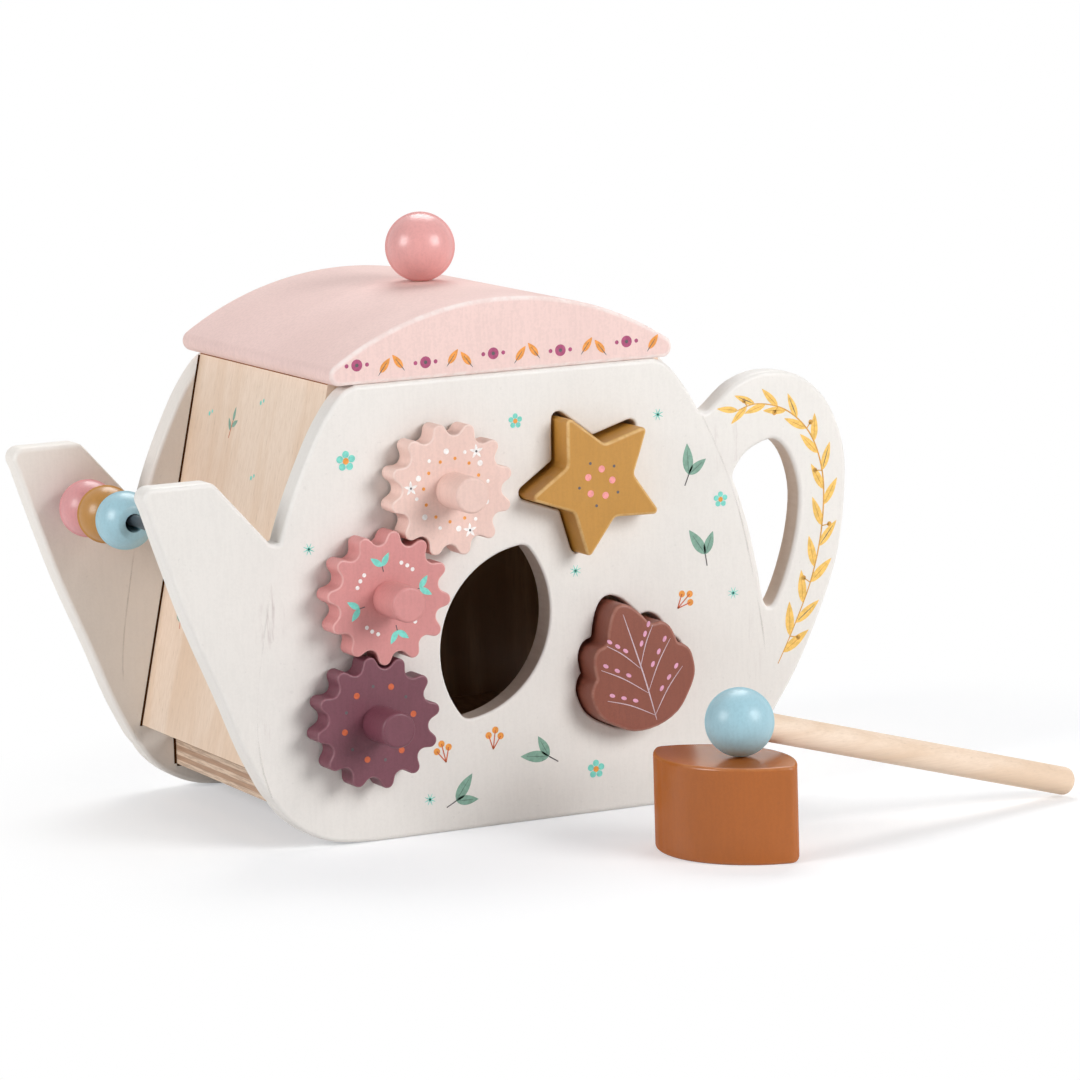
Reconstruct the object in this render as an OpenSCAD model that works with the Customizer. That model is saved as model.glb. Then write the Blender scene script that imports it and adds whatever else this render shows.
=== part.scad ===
// Wooden activity teapot: two painted side panels with spout and handle boards, slanted end walls,
// a lift-off lid, three meshing gears, posting shapes, beads on a rod, chime bars and a mallet.
// X runs from the spout to the handle, Y from the gear side to the chime side, Z up from the table.
// The origin is the middle of the front panel's foot.

/* [Body] */
// Depth over both side panels
body_depth = 160; // [130:1:200]
// Height of the side panels
body_height = 192; // [184:1:212]
// Width of the body across the belly
belly_w = 238; // [228:2:252]
// Thickness of the side panels
panel_t = 12; // [9:0.5:15]

/* [Spout and handle] */
// How far the spout reaches past the belly
spout_out = 46; // [38:1:54]
// How far the spout's lip stays under the panels' top
spout_drop = 34.5; // [28:0.5:40]
// How far the handle reaches past the belly
handle_out = 41.5; // [36:0.5:48]
// How far the handle's bow stays under the panels' top
handle_drop = 10; // [4:0.5:16]

/* [Walls and base] */
// Thickness of the slanted end walls
wall_t = 10; // [8:0.5:13]
// Height of the end walls' lower edge above the table
wall_foot = 31; // [28:0.5:36]
// How far the end walls' lower edge stays inside the belly
wall_in_low = 8; // [6:0.5:12]
// How far the end walls' upper edge stands past the panels' flat top
wall_past_top = 7.5; // [3:0.5:9]
// Thickness of the plywood base
base_t = 15; // [12:0.5:16]
// Height of the base's underside above the table
base_lift = 12; // [8:0.5:14]
// How far the ends of the base stay inside the belly
base_in = 23.5; // [21:0.5:34]
// Diameter of the hidden beech dowels
dowel_d = 7; // [5:0.5:8]

/* [Gears] */
// Thickness of the gears
gear_t = 12; // [9:0.5:14]
// Diameter of the turning knobs
grip_d = 15; // [12:0.5:19]
// Length of the turning knobs in front of the gears
grip_l = 20; // [14:0.5:26]
// Diameter of the gear axles
axle_d = 9; // [7:0.5:11]

/* [Posting shapes] */
// Thickness of the three posting shapes
shape_t = 40; // [34:1:44]
// How far star and leaf stand proud of the panel
shape_proud = 12; // [8:1:20]
// Gap between a posting shape and its cut-out
shape_gap = 1.2; // [0.8:0.1:1.6]
// Radius to the pointed tips of the star
star_r = 33; // [30:0.5:34]
// Length of the leaf from stalk to tip
leaf_l = 56.5; // [50:0.5:58]
// Length of the seed shape
seed_l = 74; // [68:0.5:75]
// Width of the seed shape
seed_w = 46; // [42:0.5:47]

/* [Lid] */
// How far the lid reaches past the panels' flat top
lid_past_top = 10.3; // [8:0.1:12]
// Height of the lid's arch
lid_rise = 31.5; // [26:0.5:36]
// Height of the lid's round ends
lid_end = 9; // [7:0.5:10]
// Thickness of the board under the lid that keeps it in place
locator_t = 9; // [6:0.5:12]
// Diameter of the ball on the lid
knob_d = 30; // [26:1:34]

/* [Beads] */
// Diameter of the beads
bead_d = 25; // [23:0.5:26]
// Length of a bead along its bore
bead_l = 21; // [18:0.5:22]
// Diameter of the hole through the beads
bead_bore = 8; // [6.5:0.5:9]
// Diameter of the rod that carries the beads
rod_d = 5; // [4:0.5:6]

/* [Mallet] */
// Diameter of the mallet's ball
mallet_d = 28.5; // [26:0.5:32]
// Diameter of the mallet's stick
stick_d = 12; // [9:0.5:12]
// Length from the ball's centre to the stick's end
stick_reach = 178; // [150:1:200]

/* [Chimes] */
// Width of a chime bar
bar_w = 22; // [18:0.5:24]
// Thickness of a chime bar
bar_t = 2.5; // [2:0.5:4]
// Length of the longest chime bar
bar_long = 112; // [100:1:116]
// Length that each next bar is shorter
bar_step = 8; // [4:1:10]

/* [Hidden] */
$fn = 72;

// Overrun of every cut
cut = 1;
// Two outline points nearer than this are one
fine = 0.01;
// Radial clearance of a glued or pressed round piece in its bore
glue_gap = 0.05;
// Radial clearance of a turning axle, and end clearance of what turns or slides
slip = 0.1;
// Clearance under a piece that only lies or hangs on another
seat_gap = 0.3;

// The faces of the two panels
front_y = -panel_t / 2;
inner_front_y = front_y + panel_t;
back_y = front_y + body_depth;
inner_back_y = back_y - panel_t;
middle_y = (front_y + back_y) / 2;

// Half of the body's outline, foot to shoulder, as shares of its reach and height
belly_reach = belly_w / 2;
body_shares = [[0.56, 0], [0.715, 0.0094], [0.835, 0.041], [0.93, 0.0975], [0.982, 0.18],
    [1, 0.275], [0.992, 0.36], [0.965, 0.465], [0.915, 0.62], [0.845, 0.755], [0.752, 0.88],
    [0.688, 0.945], [0.632, 0.985], [0.58, 1]];
top_reach = body_shares[len(body_shares) - 1][0] * belly_reach;

// The spout: shares of the way from the belly to its lip, and of its height; inside the belly, of its root
spout_inward_share = 0.3866;
spout_root = spout_inward_share * belly_reach;
spout_top = body_height - spout_drop;
spout_reach = belly_reach + spout_out;
spout_shares = [[-0.237, 0.108], [-0.111, 0.148], [-0.026, 0.19], [0.128, 0.283], [0.326, 0.43],
    [0.596, 0.62], [0.822, 0.81], [0.961, 0.935]];
spout_root_shares = [[-0.8, 0.835], [-0.8, 0.15]];
spout_shoulder_share = 0.391;
spout_notch_share = [-0.248, 0.847];
lip_r = 5;
shoulder_r = 6;
notch_r = 4;

// The handle and its opening, in the same way
handle_inward_share = 0.3487;
handle_root = handle_inward_share * belly_reach;
handle_top = body_height - handle_drop;
handle_shares = [[-0.193, 0.1126], [0.012, 0.165], [0.361, 0.28], [0.675, 0.42], [0.904, 0.56],
    [1, 0.714], [0.976, 0.821], [0.783, 0.924], [0.458, 0.986], [0.072, 1], [-0.265, 0.978],
    [-0.518, 0.933]];
handle_notch_share = [-0.636, 0.9396];
handle_root_shares = [[-0.9, 0.9], [-0.9, 0.11]];
hole_shares = [[0.12, 0.839], [-0.14, 0.816], [-0.289, 0.7775], [-0.318, 0.754], [-0.275, 0.728],
    [-0.164, 0.648], [-0.063, 0.544], [0, 0.4615], [0.063, 0.441], [0.145, 0.459], [0.277, 0.525],
    [0.393, 0.613], [0.441, 0.703], [0.381, 0.775], [0.265, 0.822]];

// End walls: slope, and the thickness measured level; and the base
wall_reach_low = belly_reach - wall_in_low;
wall_reach_high = top_reach + wall_past_top;
base_reach = belly_reach - base_in;
wall_rise = body_height - wall_foot;
wall_level_t = wall_t * norm([wall_rise, wall_reach_low - wall_reach_high]) / wall_rise;

// Dowels: how deep they sit in a panel, and how far they run into wall or base
dowel_sink = panel_t * 2 / 3;
dowel_run = 20;
wall_dowel_shares = [0.25, 0.75];
base_dowel_share = 0.72;

// Gears: 12 teeth each, the three axles in a bent row down the spout side, spaced by the panel
tooth_count = 12;
gear_pitch_share = 13 / 48;
gear_pitch = gear_pitch_share * body_height;
gear_tip_share = 0.5385;
gear_root_share = 0.4385;
tooth_tip_share = 0.0558;
tooth_gap_share = 0.0692;
gear_tip_r = gear_tip_share * gear_pitch;
gear_root_r = gear_root_share * gear_pitch;
tooth_tip_r = tooth_tip_share * gear_pitch;
tooth_gap_r = tooth_gap_share * gear_pitch;
top_share = [-0.28, 0.7646];
middle_lean = -125.4;
bottom_lean = -97.4;
top_place = [top_share[0] * belly_reach, top_share[1] * body_height];
middle_place = top_place + gear_pitch * toward(middle_lean);
bottom_place = middle_place + gear_pitch * toward(bottom_lean);
top_phase = 10.9;
middle_phase = 2 * middle_lean + 180 / tooth_count - top_phase;
bottom_phase = 2 * bottom_lean + 180 / tooth_count - middle_phase;
spacer_t = 1.5;
spacer_d = 20;
gear_back_y = front_y - slip - spacer_t;
gear_front_y = gear_back_y - gear_t;
grip_edge = 1.2;
grip_sink = 10;
retainer_d = 20;
retainer_t = 6;
retainer_sink = 4;

// Posting shapes: star, leaf and seed on the handle side of the gears
star_share = [0.299, 0.7458];
star_turn = 43.5;
star_waist_share = 0.506;
star_tip_r = 1.8;
star_waist_r = 3;
leaf_share = [0.5076, 0.1911];
leaf_turn = 107.4;
leaf_shares = [[0, 0], [0.039, -0.195], [0.15, -0.336], [0.248, -0.416], [0.336, -0.442],
    [0.442, -0.442], [0.513, -0.398], [0.54, -0.363], [0.584, -0.359], [0.681, -0.34],
    [0.747, -0.281], [0.761, -0.2], [0.842, -0.156], [0.929, -0.103], [0.982, -0.05], [1, 0]];
seed_hole_share = [-0.0756, 0.43125];
seed_hole_turn = 67;
seed_tip_r = 4;
star_place = [star_share[0] * belly_reach, star_share[1] * body_height];
leaf_place = [leaf_share[0] * belly_reach, leaf_share[1] * body_height];
seed_hole_place = [seed_hole_share[0] * belly_reach, seed_hole_share[1] * body_height];
shape_lift = [0, shape_gap - seat_gap];

// The seed shape lies in front of the panel and carries the mallet's ball
seed_ahead = 99.7;
seed_aside = 45.1;
seed_turn = -69.5;
ball_aside = 4.9;
ball_ahead = 4.5;
mallet_turn = 7.5;
stick_past = 4;
stick_edge = 3;
ball_z = shape_t + slip + mallet_d / 2;
stick_slope = asin((ball_z - slip) / norm([stick_reach, stick_d / 2])) - atan(stick_d / 2 / stick_reach);

// Lid: nose and arch radii, and the ball's small flat
lid_reach = top_reach + lid_past_top;
nose_r = lid_end / 2;
nose_x = lid_reach - nose_r;
nose_drop = nose_r - lid_rise;
arch_r = (nose_r^2 - nose_x^2 - nose_drop^2) / (2 * (nose_drop + nose_r));
arch_turn = atan2(arch_r + nose_drop, nose_x);
locator_gap = 2;
// The lid lies toward the spout by this share of its play
lid_play_share = 0.6;
lid_x = -lid_play_share * locator_gap;
locator_reach = wall_reach_high - wall_level_t - locator_gap;
knob_flat = 0.3;
knob_z = body_height + lid_rise - knob_flat + knob_d / 2;
lid_dowel_run = 12;

// Beads hang by their bores from the rod, pushed toward the back spout board
rod_x = -belly_reach - spout_shoulder_share * spout_out;
rod_share = 0.838;
rod_z = rod_share * spout_top;
bead_z = rod_z - (bead_bore - rod_d) / 2 + seat_gap;
bead_rest = 3;

// Chimes: five bars on two slanting rails on the back panel
bar_count = 5;
bar_gap = 4;
bar_pitch = bar_w + bar_gap;
bar_corner = 2;
bar_rest_share = 0.28;
chime_share = 0.52;
chime_z = chime_share * body_height;
rail_w = 10;
rail_t = 8;
rail_end = 6;
rail_corner = 2;
pin_d = 3;
pin_play = 0.6;
pin_head_d = 7;
pin_head_t = 1.8;
pin_sink = rail_t * 3 / 4;

// A unit vector at an angle from +X
function toward(angle) = [cos(angle), sin(angle)];

// The unit vector along another
function unit(v) = v / norm(v);

// A mirrored outline, in the same sense of rotation
function flipped(points) = [for (i = [len(points) - 1 : -1 : 0]) [-points[i][0], points[i][1]]];

// Points of an arc, both ends included
function arc(centre, r, from, to, steps) =
    [for (i = [0 : steps]) centre + r * toward(from + (to - from) * i / steps)];

// A point between two others on the smooth curve through four
function curve_point(before, from, to, after, t) =
    (2 * from + (to - before) * t + (2 * before - 5 * from + 4 * to - after) * t^2
        + (3 * from - before - 3 * to + after) * t^3) / 2;

// A smooth curve through the given points
function smooth(points, steps) = let (last = len(points) - 1)
    [for (i = [0 : last - 1])
        let (before = points[max(i - 1, 0)], after = points[min(i + 2, last)])
            for (k = [0 : steps]) curve_point(before, points[i], points[i + 1], after, k / steps)];

// The same on a closed row of points
function smooth_loop(points, steps) = let (n = len(points))
    [for (i = [0 : n - 1])
        let (before = points[(i + n - 1) % n], after = points[(i + 2) % n])
            for (k = [0 : steps - 1]) curve_point(before, points[i], points[(i + 1) % n], after, k / steps)];

// Pieces of a closed outline in one row, without repeated points
function joined(pieces) = let (all = [for (piece = pieces) each piece], n = len(all))
    [for (i = [0 : n - 1]) if (norm(all[i] - all[(i + n - 1) % n]) > fine) all[i]];

// A closed outline moved outward by a gap, square to its edges
function grown(points, gap) = let (n = len(points))
    [for (i = [0 : n - 1])
        let (along = unit(points[(i + 1) % n] - points[(i + n - 1) % n]))
            points[i] + gap * [along[1], -along[0]]];

// A closed outline with each corner rounded to its own radius
function rounded(corners, radii, steps) = let (n = len(corners))
    joined([for (i = [0 : n - 1])
        let (to_last = unit(corners[(i + n - 1) % n] - corners[i]),
            to_next = unit(corners[(i + 1) % n] - corners[i]),
            half = acos(to_last * to_next) / 2,
            centre = corners[i] + unit(to_last + to_next) * radii[i] / sin(half),
            foot = corners[i] + to_last * radii[i] / tan(half) - centre,
            from = atan2(foot[1], foot[0]),
            sense = cross(to_last, to_next) > 0 ? -1 : 1)
            arc(centre, radii[i], from, from + sense * (180 - 2 * half), steps)]);

// A pointed oval with round tips
function lens(l, w, tip_r) = let (
    reach = l / 2 - tip_r,
    side_r = ((l / 2)^2 - l * tip_r + (w / 2)^2) / (w - 2 * tip_r),
    side_y = side_r - w / 2,
    turn = atan2(side_y, reach))
    joined([arc([reach, 0], tip_r, -turn, turn, 8),
        arc([0, -side_y], side_r, turn, 180 - turn, 28),
        arc([-reach, 0], tip_r, 180 - turn, 180 + turn, 8),
        arc([0, side_y], side_r, 180 + turn, 360 - turn, 28)]);

// A rectangle about the origin with round corners
function plate(l, w, r) = rounded([[l, w] / 2, [-l, w] / 2, [-l, -w] / 2, [l, -w] / 2], [r, r, r, r], 5);

// The teeth: a tip arc and a gap arc joined by straight flanks
function gear_outline() = let (
    step = 360 / tooth_count,
    tip = [gear_tip_r - tooth_tip_r, 0],
    gap = (gear_root_r + tooth_gap_r) * toward(step / 2),
    across = gap - tip,
    flank = atan2(across[1], across[0]) - acos((tooth_tip_r + tooth_gap_r) / norm(across)),
    side = concat(arc(tip, tooth_tip_r, 0, flank, 5),
        arc(gap, tooth_gap_r, flank + 180, step / 2 + 180, 5)),
    tooth = concat([for (i = [len(side) - 1 : -1 : 0]) [side[i][0], -side[i][1]]], side))
    joined([for (k = [0 : tooth_count - 1]) [for (p = tooth) turned(p, k * step)]]);

// A point turned about the origin
function turned(p, angle) = [p[0] * cos(angle) - p[1] * sin(angle), p[0] * sin(angle) + p[1] * cos(angle)];

function star_outline() = let (waist = star_waist_share * star_r)
    rounded([for (k = [0 : 9]) (k % 2 == 0 ? star_r : waist) * toward(star_turn + 36 * k)],
        [for (k = [0 : 9]) k % 2 == 0 ? star_tip_r : star_waist_r], 5);

function leaf_outline() = let (
    half = [for (p = leaf_shares) p * leaf_l],
    other = [for (i = [len(half) - 2 : -1 : 1]) [half[i][0], -half[i][1]]])
    [for (p = smooth_loop(concat(half, other), 3)) turned(p, leaf_turn)];

function body_outline() = let (
    half = smooth([for (s = body_shares) [s[0] * belly_reach, s[1] * body_height]], 4))
    joined([half, flipped(half)]);

// A point beside the belly, from its shares of the way out or of the root, and of the height
function beside_belly(share, out, root, top) =
    [belly_reach + share[0] * (share[0] < 0 ? root : out), share[1] * top];

function spout_outline() = let (
    lip = [spout_reach, spout_top] - [lip_r, lip_r],
    shoulder = [belly_reach + spout_shoulder_share * spout_out, spout_top - shoulder_r],
    notch = beside_belly(spout_notch_share, spout_out, spout_root, spout_top),
    across = notch - shoulder,
    slant = atan2(across[1], across[0]) + 360 - acos((shoulder_r + notch_r) / norm(across)))
    joined([smooth([for (s = spout_shares) beside_belly(s, spout_out, spout_root, spout_top)], 4),
        arc(lip, lip_r, -15, 90, 8),
        arc(shoulder, shoulder_r, 90, slant, 6),
        arc(notch, notch_r, slant - 180, slant - 301, 8),
        [for (s = spout_root_shares) beside_belly(s, spout_out, spout_root, spout_top)]]);

function handle_outline() = joined([
    smooth([for (s = handle_shares) beside_belly(s, handle_out, handle_root, handle_top)], 4),
    arc(beside_belly(handle_notch_share, handle_out, handle_root, handle_top), notch_r, -50, -170, 8),
    [for (s = handle_root_shares) beside_belly(s, handle_out, handle_root, handle_top)]]);

function handle_hole_outline() =
    smooth_loop([for (s = hole_shares) beside_belly(s, handle_out, handle_root, handle_top)], 4);

function lid_outline() = joined([
    arc([nose_x, nose_r], nose_r, -90, arch_turn, 10),
    arc([0, lid_rise - arch_r], arch_r, arch_turn, 180 - arch_turn, 40),
    arc([-nose_x, nose_r], nose_r, 180 - arch_turn, 270, 10)]);

// Where the dowels sit: two in each end wall, three in the base
function wall_middle(share) = [
    wall_reach_low - (wall_reach_low - wall_reach_high) * share - wall_level_t / 2,
    wall_foot + wall_rise * share];
wall_dowels = [for (s = wall_dowel_shares) wall_middle(s)];
base_dowels = [for (k = [-1 : 1]) [k * base_dowel_share * base_reach, base_lift + base_t / 2]];
all_dowels = concat(wall_dowels, flipped(wall_dowels), base_dowels);

// A flat outline standing upright, from y on for a thickness
module upright(y, t) {
    translate([0, y + t, 0])
        rotate([90, 0, 0])
            linear_extrude(t)
                children();
}

// A round pin or bore along Y at a place on the panel
module peg(place, y, l, d) {
    translate([place[0], y + l, place[1]])
        rotate([90, 0, 0])
            cylinder(h = l, d = d);
}

// A turned piece along Z with round edges at its far end, or at both
module turned_piece(l, d, edge, both = false) {
    near = both ? arc([d / 2 - edge, edge], edge, -90, 0, 6) : [[d / 2, 0]];
    rotate_extrude()
        polygon(joined([[[0, 0]], near, arc([d / 2 - edge, l - edge], edge, 0, 90, 6), [[0, l]]]));
}

// The back panel's pieces are the front ones seen from the other side
module behind() {
    translate([0, 2 * middle_y, 0])
        mirror([0, 1, 0])
            children();
}

module body_board() {
    difference() {
        upright(front_y, panel_t)
            polygon(body_outline());
        for (place = all_dowels)
            peg(place, inner_front_y - dowel_sink, dowel_sink + cut, dowel_d + 2 * glue_gap);
    }
}

module spout_board() {
    difference() {
        upright(front_y, panel_t)
            difference() {
                mirror([1, 0, 0])
                    polygon(spout_outline());
                polygon(body_outline());
            }
        peg([rod_x, rod_z], inner_front_y - dowel_sink, dowel_sink + cut, rod_d + 2 * glue_gap);
    }
}

module handle_board() {
    upright(front_y, panel_t)
        difference() {
            polygon(handle_outline());
            polygon(body_outline());
            polygon(handle_hole_outline());
        }
}

// The front panel with its axle bores and the three cut-outs for the posting shapes
module front_body() {
    color("ivory")
        difference() {
            body_board();
            for (place = [top_place, middle_place, bottom_place])
                peg(place, front_y - cut, panel_t + 2 * cut, axle_d + 2 * slip);
            upright(front_y - cut, panel_t + 2 * cut) {
                translate(star_place + shape_lift)
                    polygon(grown(star_outline(), shape_gap));
                translate(leaf_place + shape_lift)
                    polygon(grown(leaf_outline(), shape_gap));
                translate(seed_hole_place)
                    rotate(seed_hole_turn)
                        polygon(lens(seed_l + 2 * shape_gap, seed_w + 2 * shape_gap, seed_tip_r + shape_gap));
            }
        }
}

module front_spout() {
    color("ivory")
        spout_board();
}

module front_handle() {
    color("ivory")
        handle_board();
}

module back_body() {
    color("ivory")
        behind()
            body_board();
}

module back_spout() {
    color("ivory")
        behind()
            spout_board();
}

module back_handle() {
    color("ivory")
        behind()
            handle_board();
}

// An end wall on the handle side, between the panels
module end_wall() {
    difference() {
        upright(inner_front_y, inner_back_y - inner_front_y)
            polygon([[wall_reach_low, wall_foot], [wall_reach_high, body_height],
                [wall_reach_high - wall_level_t, body_height], [wall_reach_low - wall_level_t, wall_foot]]);
        dowel_bores(wall_dowels);
    }
}

// Blind bores from both ends of a wall or the base
module dowel_bores(places) {
    for (place = places) {
        peg(place, inner_front_y - cut, dowel_run + cut, dowel_d + 2 * glue_gap);
        peg(place, inner_back_y - dowel_run, dowel_run + cut, dowel_d + 2 * glue_gap);
    }
}

module spout_end_wall() {
    color("tan")
        mirror([1, 0, 0])
            end_wall();
}

module handle_end_wall() {
    color("tan")
        end_wall();
}

module base_board() {
    color("burlywood")
        difference() {
            translate([-base_reach, inner_front_y, base_lift])
                cube([2 * base_reach, inner_back_y - inner_front_y, base_t]);
            dowel_bores(base_dowels);
        }
}

module front_dowels() {
    color("wheat")
        for (place = all_dowels)
            peg(place, inner_front_y - dowel_sink, dowel_sink + dowel_run, dowel_d);
}

module back_dowels() {
    color("wheat")
        behind()
            for (place = all_dowels)
                peg(place, inner_front_y - dowel_sink, dowel_sink + dowel_run, dowel_d);
}

module bead_rod() {
    color("darkslategray")
        peg([rod_x, rod_z], inner_front_y - dowel_sink, inner_back_y - inner_front_y + 2 * dowel_sink, rod_d);
}

// A ball bead with flat ends, counted from the back spout board
module bead(number) {
    turn = asin(bead_l / bead_d);
    translate([rod_x, inner_back_y - bead_rest - number * (bead_l + slip) - bead_l / 2, bead_z])
        rotate([90, 0, 0])
            rotate_extrude()
                polygon(joined([[[bead_bore / 2, -bead_l / 2]], arc([0, 0], bead_d / 2, -turn, turn, 16),
                    [[bead_bore / 2, bead_l / 2]]]));
}

module bead_pink() {
    color("pink")
        bead(0);
}

module bead_ochre() {
    color("goldenrod")
        bead(1);
}

module bead_blue() {
    color("lightblue")
        bead(2);
}

module gear(place, phase) {
    difference() {
        translate([place[0], 0, place[1]])
            upright(gear_front_y, gear_t)
                rotate(phase)
                    polygon(gear_outline());
        peg(place, gear_front_y - cut, gear_t + 2 * cut, axle_d + 2 * glue_gap);
    }
}

module grip(place) {
    difference() {
        translate([place[0], gear_front_y, place[1]])
            rotate([90, 0, 0])
                turned_piece(grip_l, grip_d, grip_edge);
        peg(place, gear_front_y - grip_sink, grip_sink + cut, axle_d + 2 * glue_gap);
    }
}

module axle(place) {
    from = gear_front_y - grip_sink;
    peg(place, from, inner_front_y + slip + retainer_sink - from, axle_d);
}

module spacer(place) {
    difference() {
        peg(place, gear_back_y, spacer_t, spacer_d);
        peg(place, gear_back_y - cut, spacer_t + 2 * cut, axle_d + 2 * glue_gap);
    }
}

// The disc inside the body that keeps an axle in
module retainer(place) {
    difference() {
        translate([place[0], inner_front_y + slip, place[1]])
            rotate([-90, 0, 0])
                turned_piece(retainer_t, retainer_d, grip_edge);
        peg(place, inner_front_y + slip - cut, retainer_sink + cut, axle_d + 2 * glue_gap);
    }
}

module gear_top() {
    color("peachpuff")
        gear(top_place, top_phase);
}

module grip_top() {
    color("peachpuff")
        grip(top_place);
}

module axle_top() {
    color("wheat")
        axle(top_place);
}

module spacer_top() {
    color("wheat")
        spacer(top_place);
}

module retainer_top() {
    color("wheat")
        retainer(top_place);
}

module gear_middle() {
    color("palevioletred")
        gear(middle_place, middle_phase);
}

module grip_middle() {
    color("palevioletred")
        grip(middle_place);
}

module axle_middle() {
    color("wheat")
        axle(middle_place);
}

module spacer_middle() {
    color("wheat")
        spacer(middle_place);
}

module retainer_middle() {
    color("wheat")
        retainer(middle_place);
}

module gear_bottom() {
    color("maroon")
        gear(bottom_place, bottom_phase);
}

module grip_bottom() {
    color("maroon")
        grip(bottom_place);
}

module axle_bottom() {
    color("wheat")
        axle(bottom_place);
}

module spacer_bottom() {
    color("wheat")
        spacer(bottom_place);
}

module retainer_bottom() {
    color("wheat")
        retainer(bottom_place);
}

module lid_dowel_bore() {
    translate([lid_x, middle_y, body_height + lid_rise - lid_dowel_run])
        cylinder(h = 2 * lid_dowel_run, d = dowel_d + 2 * glue_gap);
}

module lid() {
    color("mistyrose")
        difference() {
            translate([lid_x, 0, body_height])
                upright(front_y, body_depth)
                    polygon(lid_outline());
            lid_dowel_bore();
        }
}

module lid_locator() {
    depth = inner_back_y - inner_front_y - 2 * locator_gap;
    color("wheat")
        translate([lid_x - locator_reach, inner_front_y + locator_gap, body_height - locator_t])
            cube([2 * locator_reach, depth, locator_t]);
}

module lid_knob() {
    color("rosybrown")
        difference() {
            translate([lid_x, middle_y, knob_z])
                sphere(d = knob_d);
            translate([lid_x - knob_d / 2, middle_y - knob_d / 2, body_height + lid_rise - knob_d])
                cube(knob_d);
            lid_dowel_bore();
        }
}

module lid_dowel() {
    color("wheat")
        translate([lid_x, middle_y, body_height + lid_rise - lid_dowel_run])
            cylinder(h = 2 * lid_dowel_run, d = dowel_d);
}

module star_piece() {
    color("goldenrod")
        upright(front_y - shape_proud, shape_t)
            translate(star_place)
                polygon(star_outline());
}

module leaf_piece() {
    color("brown")
        upright(front_y - shape_proud, shape_t)
            translate(leaf_place)
                polygon(leaf_outline());
}

module seed_piece() {
    color("peru")
        translate([seed_aside, front_y - seed_ahead, 0])
            rotate(seed_turn)
                linear_extrude(shape_t)
                    polygon(lens(seed_l, seed_w, seed_tip_r));
}

// The mallet's own frame: X along the stick, the ball's centre at zero
module on_mallet() {
    translate([seed_aside + ball_aside, front_y - seed_ahead - ball_ahead, ball_z])
        rotate([0, stick_slope, mallet_turn])
            rotate([0, 90, 0])
                children();
}

module mallet_ball() {
    color("lightblue")
        on_mallet()
            difference() {
                sphere(d = mallet_d);
                translate([0, 0, -stick_past])
                    cylinder(h = mallet_d, d = stick_d + 2 * glue_gap);
            }
}

module mallet_stick() {
    color("burlywood")
        on_mallet()
            translate([0, 0, -stick_past])
                turned_piece(stick_reach + stick_past, stick_d, stick_edge);
}

function bar_length(number) = bar_long - (number - 1) * bar_step;
function bar_x(number) = (number - (bar_count + 1) / 2) * bar_pitch;
function bar_rest(number, side) = chime_z + side * bar_rest_share * bar_length(number);

module bar(number) {
    difference() {
        translate([bar_x(number), 0, chime_z])
            upright(back_y + rail_t, bar_t)
                polygon(plate(bar_w, bar_length(number), bar_corner));
        for (side = [-1, 1])
            peg([bar_x(number), bar_rest(number, side)], back_y + rail_t - cut, bar_t + 2 * cut,
                pin_d + 2 * pin_play);
    }
}

// A rail under the bars' resting points, its ends level with the outer bars' edges
module chime_rail(side) {
    from = [bar_x(1), bar_rest(1, side)];
    to = [bar_x(bar_count), bar_rest(bar_count, side)];
    color("wheat")
        difference() {
            upright(back_y, rail_t)
                translate((from + to) / 2)
                    rotate(atan2(to[1] - from[1], to[0] - from[0]))
                        polygon(plate(norm(to - from) + bar_w + 2 * rail_end, rail_w, rail_corner));
            for (number = [1 : bar_count])
                peg([bar_x(number), bar_rest(number, side)], back_y + rail_t - pin_sink, pin_sink + cut,
                    pin_d + 2 * glue_gap);
        }
}

// A round-headed pin through a bar into its rail
module chime_pin() {
    shank = pin_sink + bar_t + slip;
    dome_r = ((pin_head_d / 2)^2 + pin_head_t^2) / (2 * pin_head_t);
    rotate([-90, 0, 0])
        rotate_extrude()
            polygon(joined([[[0, 0], [pin_d / 2, 0], [pin_d / 2, shank], [pin_head_d / 2, shank]],
                arc([0, shank + pin_head_t - dome_r], dome_r, acos(pin_head_d / 2 / dome_r), 90, 8)]));
}

module bar_1() {
    color("salmon")
        bar(1);
}

module bar_2() {
    color("goldenrod")
        bar(2);
}

module bar_3() {
    color("lightblue")
        bar(3);
}

module bar_4() {
    color("palevioletred")
        bar(4);
}

module bar_5() {
    color("maroon")
        bar(5);
}

module chime_rail_high() {
    chime_rail(1);
}

module chime_rail_low() {
    chime_rail(-1);
}

module chime_pins() {
    color("silver")
        for (number = [1 : bar_count], side = [-1, 1])
            translate([bar_x(number), back_y + rail_t - pin_sink, bar_rest(number, side)])
                chime_pin();
}

front_body();
front_spout();
front_handle();
back_body();
back_spout();
back_handle();
spout_end_wall();
handle_end_wall();
base_board();
front_dowels();
back_dowels();
bead_rod();
bead_blue();
bead_ochre();
bead_pink();
gear_top();
grip_top();
axle_top();
spacer_top();
retainer_top();
gear_middle();
grip_middle();
axle_middle();
spacer_middle();
retainer_middle();
gear_bottom();
grip_bottom();
axle_bottom();
spacer_bottom();
retainer_bottom();
lid();
lid_locator();
lid_knob();
lid_dowel();
star_piece();
leaf_piece();
seed_piece();
mallet_ball();
mallet_stick();
bar_1();
bar_2();
bar_3();
bar_4();
bar_5();
chime_rail_high();
chime_rail_low();
chime_pins();
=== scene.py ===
import math

import bmesh
import bpy
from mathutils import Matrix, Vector
from mathutils.geometry import tessellate_polygon


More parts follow.
